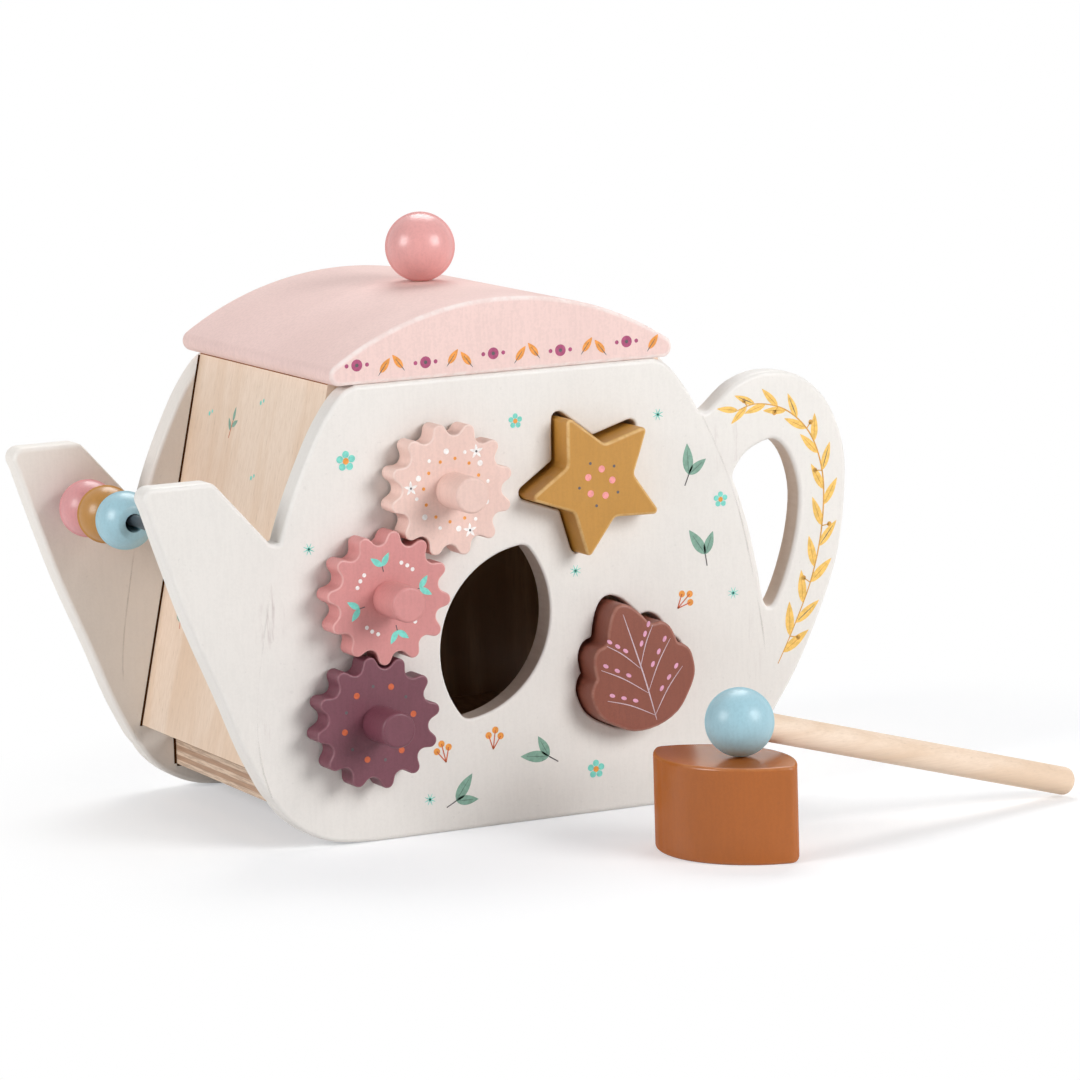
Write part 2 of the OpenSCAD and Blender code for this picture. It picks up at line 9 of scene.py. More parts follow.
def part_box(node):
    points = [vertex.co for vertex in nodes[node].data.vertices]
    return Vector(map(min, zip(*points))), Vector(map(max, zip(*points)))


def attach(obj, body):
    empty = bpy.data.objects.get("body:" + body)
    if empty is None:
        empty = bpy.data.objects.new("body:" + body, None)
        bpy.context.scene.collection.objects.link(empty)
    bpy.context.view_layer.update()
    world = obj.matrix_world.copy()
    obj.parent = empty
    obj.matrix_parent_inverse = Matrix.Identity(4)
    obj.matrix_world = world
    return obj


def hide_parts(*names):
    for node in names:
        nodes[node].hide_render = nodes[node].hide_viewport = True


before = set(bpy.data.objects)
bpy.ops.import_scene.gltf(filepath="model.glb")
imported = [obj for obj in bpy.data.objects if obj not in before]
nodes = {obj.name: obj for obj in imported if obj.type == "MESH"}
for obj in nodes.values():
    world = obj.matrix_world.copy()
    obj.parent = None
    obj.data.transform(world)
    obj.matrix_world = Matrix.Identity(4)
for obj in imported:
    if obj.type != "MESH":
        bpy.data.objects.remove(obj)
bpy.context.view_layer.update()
mm = 0.001
print("teapot: frame loaded,", len(nodes), "nodes")

# camera
view = {
    "place": (-0.966426, -2.017271, 0.471103),
    "angles": (81.0689, 1.7162, -26.2301),  # degrees
    "lens": 179.757,
    "sensor": 36.0,
    "reach": 60,
}


def addObject(name, data):
    thing = bpy.data.objects.new(name, data)
    bpy.context.scene.collection.objects.link(thing)
    return thing


cameraData = bpy.data.cameras.new("photoCamera")
cameraData.lens = view["lens"]
cameraData.sensor_width = view["sensor"]
cameraData.clip_end = view["reach"]
camera = addObject("photoCamera", cameraData)
camera.location = view["place"]
camera.rotation_euler = [math.radians(a) for a in view["angles"]]
bpy.context.scene.camera = camera


# colours and shader helpers
def srgb(r, g, b):
    def linear(c):
        c = c / 255
        return c / 12.92 if c <= 0.04045 else ((c + 0.055) / 1.055) ** 2.4
    return (linear(r), linear(g), linear(b), 1)


def shade(colour, factor, lift=0.0):
    return tuple(min(1.0, c * factor + lift) for c in colour[:3]) + (1,)


def plug(tree, socket, value):
    if isinstance(value, (int, float, tuple, list)):
        socket.default_value = value
    elif value is not None:
        tree.links.new(value, socket)


def addNode(tree, kind, **values):
    node = tree.nodes.new("ShaderNode" + kind)
    for key, value in values.items():
        plug(tree, node.inputs[key], value)
    return node


def calc(tree, operation, a, b=None, clamp=False):
    node = addNode(tree, "Math")
    node.operation = operation
    node.use_clamp = clamp
    plug(tree, node.inputs[0], a)
    plug(tree, node.inputs[1], b)
    return node.outputs[0]


def times(tree, a, b):
    return calc(tree, "MULTIPLY", a, b)


def spread(tree, value, low, high, newLow=0.0, newHigh=1.0):
    # low and high may come in either order
    flip = low > high
    node = addNode(tree, "MapRange")
    node.interpolation_type = "SMOOTHSTEP"
    numbers = (high, low, newHigh, newLow) if flip else (low, high, newLow, newHigh)
    for key, number in zip(("Value", "From Min", "From Max", "To Min", "To Max"), (value,) + numbers):
        plug(tree, node.inputs[key], number)
    return node.outputs["Result"]


def blendColour(tree, factor, a, b):
    node = addNode(tree, "Mix")
    node.data_type = "RGBA"
    for socket, value in ((0, factor), (6, a), (7, b)):
        plug(tree, node.inputs[socket], value)
    return node.outputs[2]


def noise(tree, vector, scale, detail=3.0, rough=0.55):
    node = addNode(tree, "TexNoise", Vector=vector, Scale=scale, Detail=detail, Roughness=rough)
    return node.outputs["Fac"]


def squeezed(tree, vector, scale, spin=(0, 0, 0)):
    turns = [math.radians(a) for a in spin]
    return addNode(tree, "Mapping", Vector=vector, Rotation=turns, Scale=scale).outputs[0]


def splitAxes(tree, vector):
    return addNode(tree, "SeparateXYZ", Vector=vector).outputs


def attribute(tree, name):
    node = addNode(tree, "Attribute")
    node.attribute_name = name
    return node.outputs["Fac"]


def newGroup(name, numbers, outputs):
    # every group takes the vector and its own numbers
    group = bpy.data.node_groups.new(name, "ShaderNodeTree")

    def addSocket(title, side, kind="Float"):
        return group.interface.new_socket(title, in_out=side, socket_type="NodeSocket" + kind)

    addSocket("Vector", "INPUT", "Vector")
    for title, value in numbers.items():
        addSocket(title, "INPUT").default_value = value
    for title in outputs:
        addSocket(title, "OUTPUT")
    return group, group.nodes.new("NodeGroupInput").outputs, group.nodes.new("NodeGroupOutput").inputs


def feed(group, result, **values):
    for title, value in values.items():
        group.links.new(value, result[title])
    return group


def buildPaintSkin():
    # sprayed paint on sanded wood: fine peel over raised fibres, soft clouds, a few specks
    look = {"fibreSqueeze": (1.0, 1.0, 0.12), "fibres": 700.0, "peelShare": 0.6, "specks": 420.0}
    numbers = {"Peel": 900.0, "Clouds": 18.0}
    group, given, result = newGroup("paintSkin", numbers, ["Height", "Grain", "Cloud", "Speck"])
    vector = given["Vector"]
    peel = noise(group, vector, given["Peel"], 2.0, 0.5)
    fibre = noise(group, squeezed(group, vector, look["fibreSqueeze"]), look["fibres"], 2.0)
    raised = times(group, peel, look["peelShare"])
    raised = calc(group, "ADD", raised, times(group, fibre, 1 - look["peelShare"]))
    grain = spread(group, times(group, peel, fibre), 0.16, 0.36)
    cloud = spread(group, noise(group, vector, given["Clouds"], 3.0, 0.6), 0.3, 0.7)
    speck = spread(group, noise(group, vector, look["specks"], 1.0), 0.74, 0.79)
    return feed(group, result, Height=raised, Grain=grain, Cloud=cloud, Speck=speck)


def buildEdgeRub():
    # the rounded edges, uneven by noise: lighter where the paint is thin and rubbed, and also a painted highlight
    # along the edges
    group, given, result = newGroup("edgeRub", {"Breaks": 160.0, "Amount": 0.5}, ["Rub"])
    broken = spread(group, noise(group, given["Vector"], given["Breaks"], 4.0, 0.65), 0.4, 0.6, 0.5, 1.0)
    uneven = times(group, attribute(group, "edgeMask"), broken)
    return feed(group, result, Rub=calc(group, "MULTIPLY", uneven, given["Amount"], clamp=True))


def buildWoodFibre():
    # growth bands with fine fibres and pores; the vector comes in squeezed along the grain
    group, given, result = newGroup("woodFibre", {"Bands": 60.0, "Fibres": 900.0}, ["Band", "Fibre", "Pore"])
    vector = given["Vector"]
    band = addNode(group, "TexNoise", Vector=vector, Scale=given["Bands"], Detail=4.0, Distortion=0.6)
    fibre = noise(group, vector, given["Fibres"], 3.0, 0.7)
    bands = spread(group, band.outputs["Fac"], 0.35, 0.65)
    return feed(group, result, Band=bands, Fibre=fibre, Pore=spread(group, fibre, 0.62, 0.72))


def buildPrintGrain():
    # printed colour lies slightly uneven over the paint's texture
    group, given, result = newGroup("printGrain", {"Scale": 600.0}, ["Patch", "Height"])
    patch = spread(group, noise(group, given["Vector"], given["Scale"], 3.0), 0.35, 0.65)
    finer = noise(group, given["Vector"], times(group, given["Scale"], 1.5), 2.0)
    return feed(group, result, Patch=patch, Height=finer)


def buildFineScratch():
    # hairline scratches along the height
    group, given, result = newGroup("fineScratch", {"Scale": 1800.0}, ["Scratch"])
    upright = squeezed(group, given["Vector"], (1.0, 1.0, 0.05))
    return feed(group, result, Scratch=noise(group, upright, given["Scale"], 3.0))


def buildCutRimShade():
    # painted shade: the rims of holes and cutouts get a darker, warmer tone with a sawn-looking noise, standing
    # in for the shade inside the openings
    group, given, result = newGroup("cutRimShade", {"Scale": 500.0}, ["Rim", "Saw"])
    through = squeezed(group, given["Vector"], (1.0, 0.2, 1.0))
    saw = noise(group, through, given["Scale"], 3.0, 0.7)
    return feed(group, result, Rim=attribute(group, "cutRim"), Saw=saw)


def buildClosedInside():
    # where a panel looks into the closed body, between the slanting walls and above the base
    zone = {"Near": 0.0, "Far": 1.0, "Foot": 0.0, "Reach": 0.1, "Lean": 0.2}
    group, given, result = newGroup("closedInside", zone, ["Mask"])
    split = splitAxes(group, given["Vector"])
    climb = times(group, calc(group, "SUBTRACT", split["Z"], given["Foot"]), given["Lean"])
    reach = calc(group, "SUBTRACT", given["Reach"], climb)
    mask = calc(group, "LESS_THAN", calc(group, "ABSOLUTE", split["X"]), reach)
    limits = (("GREATER_THAN", "Y", "Near"), ("LESS_THAN", "Y", "Far"), ("GREATER_THAN", "Z", "Foot"))
    for test, axis, bound in limits:
        mask = times(group, mask, calc(group, test, split[axis], given[bound]))
    return feed(group, result, Mask=mask)


paintSkin = buildPaintSkin()
edgeRub = buildEdgeRub()
woodFibre = buildWoodFibre()
printGrain = buildPrintGrain()
fineScratch = buildFineScratch()
cutRimShade = buildCutRimShade()
closedInside = buildClosedInside()


def useGroup(tree, group, vector, **values):
    node = addNode(tree, "Group")
    node.node_tree = group
    tree.links.new(vector, node.inputs["Vector"])
    for key, value in values.items():
        node.inputs[key].default_value = value
    return node.outputs


def startMaterial(name, rough, coat=0.0, coatRough=0.2):
    material = bpy.data.materials.new(name)
    material.use_nodes = True
    tree = material.node_tree
    shader = tree.nodes["Principled BSDF"]
    for key, value in (("Roughness", rough), ("Coat Weight", coat), ("Coat Roughness", coatRough)):
        shader.inputs[key].default_value = value
    where = addNode(tree, "TexCoord").outputs["Object"]
    return material, tree, shader, where


def connect(tree, shader, base, rough, height, distance):
    plug(tree, shader.inputs["Base Color"], base)
    plug(tree, shader.inputs["Roughness"], rough)
    bump = addNode(tree, "Bump", Strength=1.0, Distance=distance, Height=height)
    plug(tree, shader.inputs["Normal"], bump.outputs["Normal"])


paintLook = {
    "clouds": 22.0, "breaks": 170.0, "grainShade": 0.8, "speckShade": 0.7, "speckShare": 0.2,
    "wornAndHighlightFactor": 1.18, "wornAndHighlightLift": 0.03, "cloudRough": (0.05, -0.04),
}
rimGloss = {
    # by how far the surface turns away, and for a block also by how far it looks up
    "ball": (0.52, 0.74), "rough": 0.95, "sides": (0.3, 0.62), "sidesKeep": 0.25, "top": (0.8, 0.97),
}


def rimCoat(tree, facing, coat, block):
    if not block:
        return spread(tree, facing, *rimGloss["ball"], coat, 0.0)
    upward = splitAxes(tree, addNode(tree, "TexCoord").outputs["Normal"])["Z"]
    onSides = spread(tree, facing, *rimGloss["sides"], coat, coat * rimGloss["sidesKeep"])
    return calc(tree, "MAXIMUM", onSides, spread(tree, upward, *rimGloss["top"], 0.0, coat))


def paint(name, colour, rough=0.42, coat=0.15, deep=0.94, wearAndHighlight=0.35, wornAndHighlightTone=None,
          peel=900.0, bump=0.00005, grain=0.3, gloss=0.5, more=None, ball=False, block=False):
    # more: a function that lays marks over the paint and hands back the new colour
    # ball: the gloss softens at the rim, so that a lamp behind doesn't eat the outline
    # block: it softens at the rim of the upright sides, and the flat top keeps it
    look = paintLook
    material, tree, shader, where = startMaterial(name, rough, coat)
    shader.inputs["Specular IOR Level"].default_value = gloss
    skin = useGroup(tree, paintSkin, where, Peel=peel, Clouds=look["clouds"])
    rubAndHighlight = useGroup(tree, edgeRub, where, Breaks=look["breaks"], Amount=wearAndHighlight)["Rub"]
    fibres = times(tree, skin["Grain"], grain)
    specks = times(tree, skin["Speck"], look["speckShare"])
    base = blendColour(tree, skin["Cloud"], shade(colour, deep), colour)
    base = blendColour(tree, fibres, base, shade(colour, look["grainShade"]))
    base = blendColour(tree, specks, base, shade(colour, look["speckShade"]))
    # lighter rounded edges: worn paint, and partly a painted highlight along the edges
    base = blendColour(tree, rubAndHighlight, base, wornAndHighlightTone or shade(colour, look["wornAndHighlightFactor"], look["wornAndHighlightLift"]))
    if more:
        base = more(tree, where, base)
    satin = spread(tree, skin["Cloud"], 0.0, 1.0, *(rough + change for change in look["cloudRough"]))
    if ball or block:
        facing = addNode(tree, "LayerWeight").outputs["Facing"]
        satin = calc(tree, "MAXIMUM", satin, spread(tree, facing, *rimGloss["ball"], 0.0, rimGloss["rough"]))
        tree.links.new(rimCoat(tree, facing, coat, block), shader.inputs["Coat Weight"])
    connect(tree, shader, base, satin, skin["Height"], bump)
    return material


woodLook = {
    "fibreShade": 0.86, "fibreShare": 0.3, "poreShade": 0.62, "poreShare": 0.3,
    "fibreRough": (-0.06, 0.08), "bump": 0.00003,
}


def fibrous(tree, vector, pale, dark, bands, fibres):
    # the wood's colour and its fibres
    look = woodLook
    fibre = useGroup(tree, woodFibre, vector, Bands=bands, Fibres=fibres)
    lines = spread(tree, fibre["Fibre"], 0.35, 0.65, 0.0, look["fibreShare"])
    pores = times(tree, fibre["Pore"], look["poreShare"])
    wood = blendColour(tree, fibre["Band"], dark, pale)
    wood = blendColour(tree, lines, wood, shade(dark, look["fibreShade"]))
    return blendColour(tree, pores, wood, shade(dark, look["poreShade"])), fibre["Fibre"]


def bareWood(name, pale, dark, squeeze, rough=0.55, bands=70.0, fibres=900.0, spin=(0, 0, 0), coat=0.0):
    material, tree, shader, where = startMaterial(name, rough, coat)
    base, fibre = fibrous(tree, squeezed(tree, where, squeeze, spin), pale, dark, bands, fibres)
    satin = spread(tree, fibre, 0.3, 0.7, *(rough + change for change in woodLook["fibreRough"]))
    connect(tree, shader, base, satin, fibre, woodLook["bump"])
    return material


def plywood(name, pale, dark, bottom, ply, rough=0.6):
    # stacked veneers: every other layer shows end grain
    look = {"squeeze": (0.3, 0.06, 1.0), "fibreShade": 0.7, "glueShade": 0.5, "bump": 0.00005}
    material, tree, shader, where = startMaterial(name, rough)
    level = calc(tree, "DIVIDE", calc(tree, "SUBTRACT", splitAxes(tree, where)["Z"], bottom), ply)
    wave = calc(tree, "SINE", times(tree, level, math.pi))
    fibre = useGroup(tree, woodFibre, squeezed(tree, where, look["squeeze"]), Bands=90.0, Fibres=1300.0)["Fibre"]
    lines = spread(tree, fibre, 0.4, 0.62, 0.0, 0.55)
    glue = spread(tree, calc(tree, "ABSOLUTE", wave), 0.0, 0.12, 0.4, 0.0)
    base = blendColour(tree, spread(tree, wave, -0.2, 0.2), dark, pale)
    base = blendColour(tree, lines, base, shade(dark, look["fibreShade"]))
    base = blendColour(tree, glue, base, shade(dark, look["glueShade"]))
    connect(tree, shader, base, None, fibre, look["bump"])
    return material


def lacquer(name, colour):
    # lacquered metal bar: fine scratches under a clear coat
    look = {"rough": (0.28, 0.35), "metallic": 0.35, "deep": 0.9, "bump": 0.00001}
    material, tree, shader, where = startMaterial(name, 0.3, 0.5, 0.12)
    shader.inputs["Metallic"].default_value = look["metallic"]
    scratch = useGroup(tree, fineScratch, where)["Scratch"]
    cloud = useGroup(tree, paintSkin, where, Peel=700.0, Clouds=30.0)["Cloud"]
    base = blendColour(tree, cloud, shade(colour, look["deep"]), colour)
    connect(tree, shader, base, spread(tree, scratch, 0.35, 0.65, *look["rough"]), scratch, look["bump"])
    return material


def brightSteel(name):
    look = {"tones": (srgb(176, 176, 178), srgb(214, 214, 214)), "rough": (0.2, 0.34), "bump": 0.00001}
    material, tree, shader, where = startMaterial(name, 0.25)
    shader.inputs["Metallic"].default_value = 1.0
    swirl = noise(tree, where, 1500.0, 2.0)
    base = blendColour(tree, swirl, *look["tones"])
    connect(tree, shader, base, spread(tree, swirl, 0.3, 0.7, *look["rough"]), swirl, look["bump"])
    return material


def ink(name, colour):
    # printed colour: slightly uneven, matt, with the paint's texture under it
    look = {"deep": 0.92, "pale": 1.12, "lift": 0.01, "bump": 0.00002}
    material, tree, shader, where = startMaterial(name, 0.5)
    grain = useGroup(tree, printGrain, where)
    pale = shade(colour, look["pale"], look["lift"])
    base = blendColour(tree, grain["Patch"], shade(colour, look["deep"]), pale)
    connect(tree, shader, base, None, grain["Height"], look["bump"])
    return material


def hairline(name, colour, strength):
    # a glue line that shows only here and there, as a soft streak
    look = {"patches": 24.0, "squeeze": (1.0, 1.0, 0.15), "fibres": 500.0, "weakest": 0.4, "deep": 0.8}
    material, tree, shader, where = startMaterial(name, 0.6)
    there = spread(tree, noise(tree, where, look["patches"], 3.0, 0.6), 0.4, 0.64)
    fibre = noise(tree, squeezed(tree, where, look["squeeze"]), look["fibres"], 2.0)
    streak = spread(tree, fibre, 0.3, 0.65, look["weakest"] * strength, strength)
    base = blendColour(tree, noise(tree, where, look["fibres"]), shade(colour, look["deep"]), colour)
    tree.links.new(times(tree, there, streak), shader.inputs["Alpha"])
    tree.links.new(base, shader.inputs["Base Color"])
    return material


print("teapot: shader groups built")

# what the panels show besides plain paint: bare board with painted shade inside, painted shade on cut rims, and
# rub marks
shadedInside = {
    "zone": {"Near": 5.6 * mm, "Far": 142.4 * mm, "Foot": 27 * mm, "Reach": 102 * mm, "Lean": 0.2143},
    # bare board tones for the inside, darkened as painted shade
    "wood": (srgb(188, 154, 116), srgb(156, 120, 84)),
    "squeeze": (1.0, 1.0, 0.08),
}
# painted shade: the tones laid on the rims of holes and cutouts
cutRimShadeTones = (srgb(196, 180, 167), srgb(218, 206, 196))
scuffs = {
    "tone": srgb(188, 174, 172),
    "squeeze": (1.0, 1.0, 0.1),
    # middle and size of each rubbed patch in the panel's plane, in mm, and how strong it is
    "marks": [((-112, 84), (9, 46), 0.6), ((103, 151), (10, 18), 0.45), ((113, 62), (5, 30), 0.4)],
}


def shadeCutRims(tree, where, base):
    # painted shade on the rims of holes and cutouts
    cut = useGroup(tree, cutRimShade, where)
    return blendColour(tree, cut["Rim"], base, blendColour(tree, cut["Saw"], *cutRimShadeTones))


def bareAndShadedInside(tree, where, base):
    # the faces that look into the closed body are bare board, toned darker than the birch as painted shade
    mask = useGroup(tree, closedInside, where, **shadedInside["zone"])["Mask"]
    wood, fibre = fibrous(tree, squeezed(tree, where, shadedInside["squeeze"]), *shadedInside["wood"], 60.0, 900.0)
    return blendColour(tree, mask, base, wood)


# back panel: the bare inside with painted shade, and painted shade on the cut rims
def shadedInsideAndRims(tree, where, base):
    return shadeCutRims(tree, where, bareAndShadedInside(tree, where, base))


def handled(tree, where, base):
    # greyish rub marks beside the glue lines, streaky along the height
    base = bareAndShadedInside(tree, where, base)
    split = splitAxes(tree, where)
    streak = spread(tree, noise(tree, squeezed(tree, where, scuffs["squeeze"]), 420.0, 4.0, 0.75), 0.5, 0.72)
    patch = spread(tree, noise(tree, where, 55.0, 3.0), 0.4, 0.62)
    for middle, size, strength in scuffs["marks"]:
        squares = []
        for axis, place, reach in zip("XZ", middle, size):
            share = calc(tree, "DIVIDE", calc(tree, "SUBTRACT", split[axis], place * mm), reach * mm)
            squares.append(times(tree, share, share))
        near = spread(tree, calc(tree, "ADD", *squares), 1.0, 0.1, 0.0, strength)
        rubbed = times(tree, times(tree, near, streak), patch)
        base = blendColour(tree, rubbed, base, scuffs["tone"])
    return shadeCutRims(tree, where, base)


# finishes: one for each slot of the record, and a few for the panels, the glue lines and the painted shade strips
# at the joints
creamLook = {"rough": 0.5, "coat": 0.05, "deep": 0.975, "wearAndHighlight": 0.3, "wornAndHighlightTone": srgb(244, 242, 240), "grain": 0.14}
openGrain = {"peel": 1300.0, "bump": 0.00008, "grain": 0.6}
# matt dark paint for the painted shade strips
shadeStripLook = {"rough": 0.7, "coat": 0.0, "wearAndHighlight": 0.0, "gloss": 0.0}
finish = {
    "frontCream": paint("frontCream", srgb(236, 232, 227), more=handled, **creamLook),
    # painted light: the back panel's cream is lighter than the front's, to lift its inner faces that sit in shade
    "backCream": paint("backCream", srgb(243, 237, 230), more=shadedInsideAndRims, **creamLook),
    "peach_paint": paint("peachPaint", srgb(238, 204, 193), 0.5, 0.08, 0.94, 0.5, srgb(250, 230, 222)),
    "rose_paint": paint("rosePaint", srgb(214, 143, 141), 0.48, 0.1, 0.93, 0.5, srgb(240, 196, 190)),
    "plum_paint": paint("plumPaint", srgb(117, 63, 77), 0.5, 0.06, 0.9, 0.45, srgb(168, 122, 130), **openGrain),
    "pale_pink_paint": paint("lidPaint", srgb(245, 215, 209), 0.58, 0.0, 0.965, 0.8, srgb(254, 244, 240),
                             gloss=0.1),
    "knob_rose_paint": paint("knobPaint", srgb(231, 166, 163), 0.36, 0.3, 0.95, 0.0, ball=True),
    "mustard_paint": paint("mustardPaint", srgb(195, 140, 56), 0.5, 0.05, 0.93, 0.8, srgb(232, 196, 136)),
    "chestnut_paint": paint("chestnutPaint", srgb(142, 77, 59), 0.5, 0.06, 0.9, 0.6, srgb(184, 132, 116),
                            **openGrain),
    "caramel_paint": paint("caramelPaint", srgb(176, 95, 22), 0.36, 1.0, 0.92, 0.3, srgb(208, 142, 86),
                           gloss=0.05, block=True),
    "blue_paint": paint("skyPaint", srgb(163, 203, 216), 0.38, 0.2, 0.96, 0.0, ball=True),
    "ochre_paint": paint("ochrePaint", srgb(190, 134, 60), 0.36, 0.22, 0.93, 0.0, ball=True),
    "pink_paint": paint("blushPaint", srgb(222, 154, 156), 0.36, 0.22, 0.95, 0.0, ball=True),
    "dark_rod": paint("rodPaint", srgb(28, 28, 36), 0.35, 0.2, 0.8, 0.0),
    "birch_board": bareWood("birchBoard", srgb(242, 220, 200), srgb(232, 204, 178), (1.0, 1.0, 0.05), 0.5,
                            50.0, 820.0, coat=0.1),
    "birch_plywood": plywood("plywoodBase", srgb(231, 207, 184), srgb(192, 156, 130), 12 * mm, 15 * mm / 7),
    "beech": bareWood("beechTurned", srgb(228, 200, 164), srgb(208, 174, 134), (1.0, 0.08, 1.0), 0.55),
    "stick_wood": bareWood("mapleStick", srgb(243, 221, 200), srgb(231, 204, 178), (0.05, 1.0, 1.0), 0.5,
                           90.0, 1300.0, (0, 0, -7.5)),
    "steel_pins": brightSteel("brightSteel"),
    "seam": hairline("seamLine", srgb(214, 206, 200), 0.26),
    # painted shade for the joints and for the gap under the lid
    "jointShade": paint("jointShade", srgb(76, 44, 16), deep=0.7, **shadeStripLook),
    "lidGapShade": paint("lidGapShade", srgb(150, 88, 44), deep=0.8, **shadeStripLook),
}
barTones = {
    "rose": (214, 128, 128), "mustard": (186, 142, 62), "blue": (140, 186, 200), "peach": (236, 180, 160),
    "plum": (124, 70, 86),
}
for title, tone in barTones.items():
    finish["bar_" + title] = lacquer(title + "Lacquer", srgb(*tone))
inkTones = {
    "sage": (124, 164, 146), "deepSage": (88, 124, 112), "turquoise": (120, 212, 198), "gold": (240, 194, 98),
    "darkGold": (214, 158, 66), "orange": (232, 150, 58), "rust": (200, 92, 48), "berry": (168, 66, 110),
    "white": (248, 240, 238), "lilac": (206, 186, 196), "charcoal": (86, 80, 84), "blossom": (238, 150, 150),
    "orchid": (222, 160, 190),
}
inks = {title: ink(title + "Ink", srgb(*tone)) for title, tone in inkTones.items()}
print("teapot: finishes mixed")


# boards with rounded edges
build = {
    "digits": 6, "level": 2e-6, "hair": 2e-5,  # how exactly packed points are taken to meet
    "miter": 0.6, "rimFade": 36,  # shortest corner direction, and degrees over which a sawn rim fades out
    "merge": 2e-7, "flat": 1e-8, "sharp": 42, "evenWeight": 80,
}


def boardOutline(name, flatSide="near", along="y"):
    # outline loops of a packed board's flat side, outer loops counterclockwise as the viewer sees it
    mesh = nodes[name].data
    depth = [v.co.y if along == "y" else -v.co.z for v in mesh.vertices]
    level = min(depth) if flatSide == "near" else max(depth)
    digits = build["digits"]
    flat = [(round(v.co.x, digits), round(v.co.z if along == "y" else v.co.y, digits)) for v in mesh.vertices]
    directed = set()
    for face in mesh.polygons:
        if all(abs(depth[i] - level) < build["level"] for i in face.vertices):
            ring = [flat[i] for i in face.vertices]
            for a, b in zip(ring, ring[1:] + ring[:1]):
                directed.add((a, b) if flatSide == "near" else (b, a))
    return [row[:-1] for row in chained([e for e in directed if e[::-1] not in directed])]


def chained(edges):
    # directed edges in rows; a row closes on itself or runs from one free end to the other
    follow = dict(edges)
    ends = set(follow.values())
    starts = [a for a in follow if a not in ends]
    rows = []
    while follow:
        point = starts.pop() if starts else next(iter(follow))
        row = [point]
        while point in follow:
            point = follow.pop(point)
            row.append(point)
        rows.append(row)
    return rows


def outwardAt(before, here, after):
    # outward direction of a counterclockwise outline, long enough that an offset keeps its distance
    def normal(a, b):
        return Vector((b[1] - a[1], a[0] - b[0])).normalized()
    n1, n2 = normal(before, here), normal(here, after)
    middle = (n1 + n2).normalized()
    return middle / max(build["miter"], middle.dot(n1))


def plainCorners(loops, edge):
    return [
        [(Vector(p), outwardAt(loop[i - 1], p, loop[(i + 1) % len(loop)]), edge) for i, p in enumerate(loop)]
        for loop in loops
    ]


def roundedBoard(name, corners, near, far, steps=5, along="y"):
    # corners: loops of (point, outward direction, edge radius); near and far: the two flat sides
    points, masks, rims, faces, capLoops = [], [], [], [], ([], [])
    sense = 1 if far > near else -1
    turns = [90 * k / steps for k in range(steps, -1, -1)]

    def spot(p, w):
        return (p.x, w, p.y) if along == "y" else (p.x, p.y, w)

    for loop in corners:
        rings = []
        spots = [p for p, out, r in loop]
        isHole = sum(p.x * q.y - q.x * p.y for p, q in zip(spots, spots[1:] + spots[:1])) < 0
        for side, order in ((0, turns), (1, turns[::-1])):
            for turn in order:
                c, s = math.cos(math.radians(turn)), math.sin(math.radians(turn))
                ring = []
                for p, out, r in loop:
                    w = near + sense * r * (1 - s) if side == 0 else far - sense * r * (1 - s)
                    ring.append(len(points))
                    points.append(spot(p - out * r * (1 - c), w))
                    masks.append(math.sin(math.radians(2 * turn)))
                    rims.append(max(0.0, 1 - turn / build["rimFade"]) if isHole else 0.0)
                rings.append(ring)
        for a, b in zip(rings, rings[1:]):
            for i in range(len(a)):
                j = (i + 1) % len(a)
                faces.append((a[i], b[i], b[j], a[j]))
        capLoops[0].append(rings[0])
        capLoops[1].append(rings[-1])
    second = 2 if along == "y" else 1
    for side, loops in enumerate(capLoops):
        flat = [[Vector((points[i][0], points[i][second], 0)) for i in loop] for loop in loops]
        names = [i for loop in loops for i in loop]
        spots = [v for loop in flat for v in loop]
        for a, b, c in tessellate_polygon(flat):
            u, v = spots[b] - spots[a], spots[c] - spots[a]
            leftTurn = u.x * v.y - u.y * v.x > 0
            triangle = (names[a], names[b], names[c])
            faces.append(triangle if leftTurn == (side == 0) else triangle[::-1])
    return makeMesh(name, points, faces, {"edgeMask": masks, "cutRim": rims})


def plainMesh(name, points, faces):
    mesh = bpy.data.meshes.new(name)
    mesh.from_pydata(points, [], faces)
    return mesh


def makeMesh(name, points, faces, masks=None):
    mesh = plainMesh(name, points, faces)
    for title, values in (masks or {}).items():
        mesh.attributes.new(title, "FLOAT", "POINT").data.foreach_set("value", values)
    work = bmesh.new()
    work.from_mesh(mesh)
    bmesh.ops.remove_doubles(work, verts=work.verts, dist=build["merge"])
    bmesh.ops.dissolve_degenerate(work, edges=work.edges, dist=build["flat"])
    for face in work.faces:
        face.smooth = True
    for edge in work.edges:
        edge.smooth = edge.calc_face_angle(0) < math.radians(build["sharp"])
    work.to_mesh(mesh)
    work.free()
    piece = addObject(name, mesh)
    even = piece.modifiers.new("evenNormals", "WEIGHTED_NORMAL")
    even.weight = build["evenWeight"]
    even.keep_sharp = True
    return piece


def cover(piece, material):
    piece.data.materials.clear()
    piece.data.materials.append(material)


def dress(piece, body, slot, *replaced, material=None):
    cover(piece, material or finish[slot])
    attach(piece, body)
    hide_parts(*replaced)


def nearFar(name, along="y"):
    low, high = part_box(name)
    return (low[1], high[1]) if along == "y" else (high[2], low[2])


def dressBoard(name, body, slot, edge, along="y"):
    near, far = nearFar(name, along)
    corners = plainCorners(boardOutline(name, "near", along), edge)
    dress(roundedBoard(name + "Rounded", corners, near, far, along=along), body, slot, name)


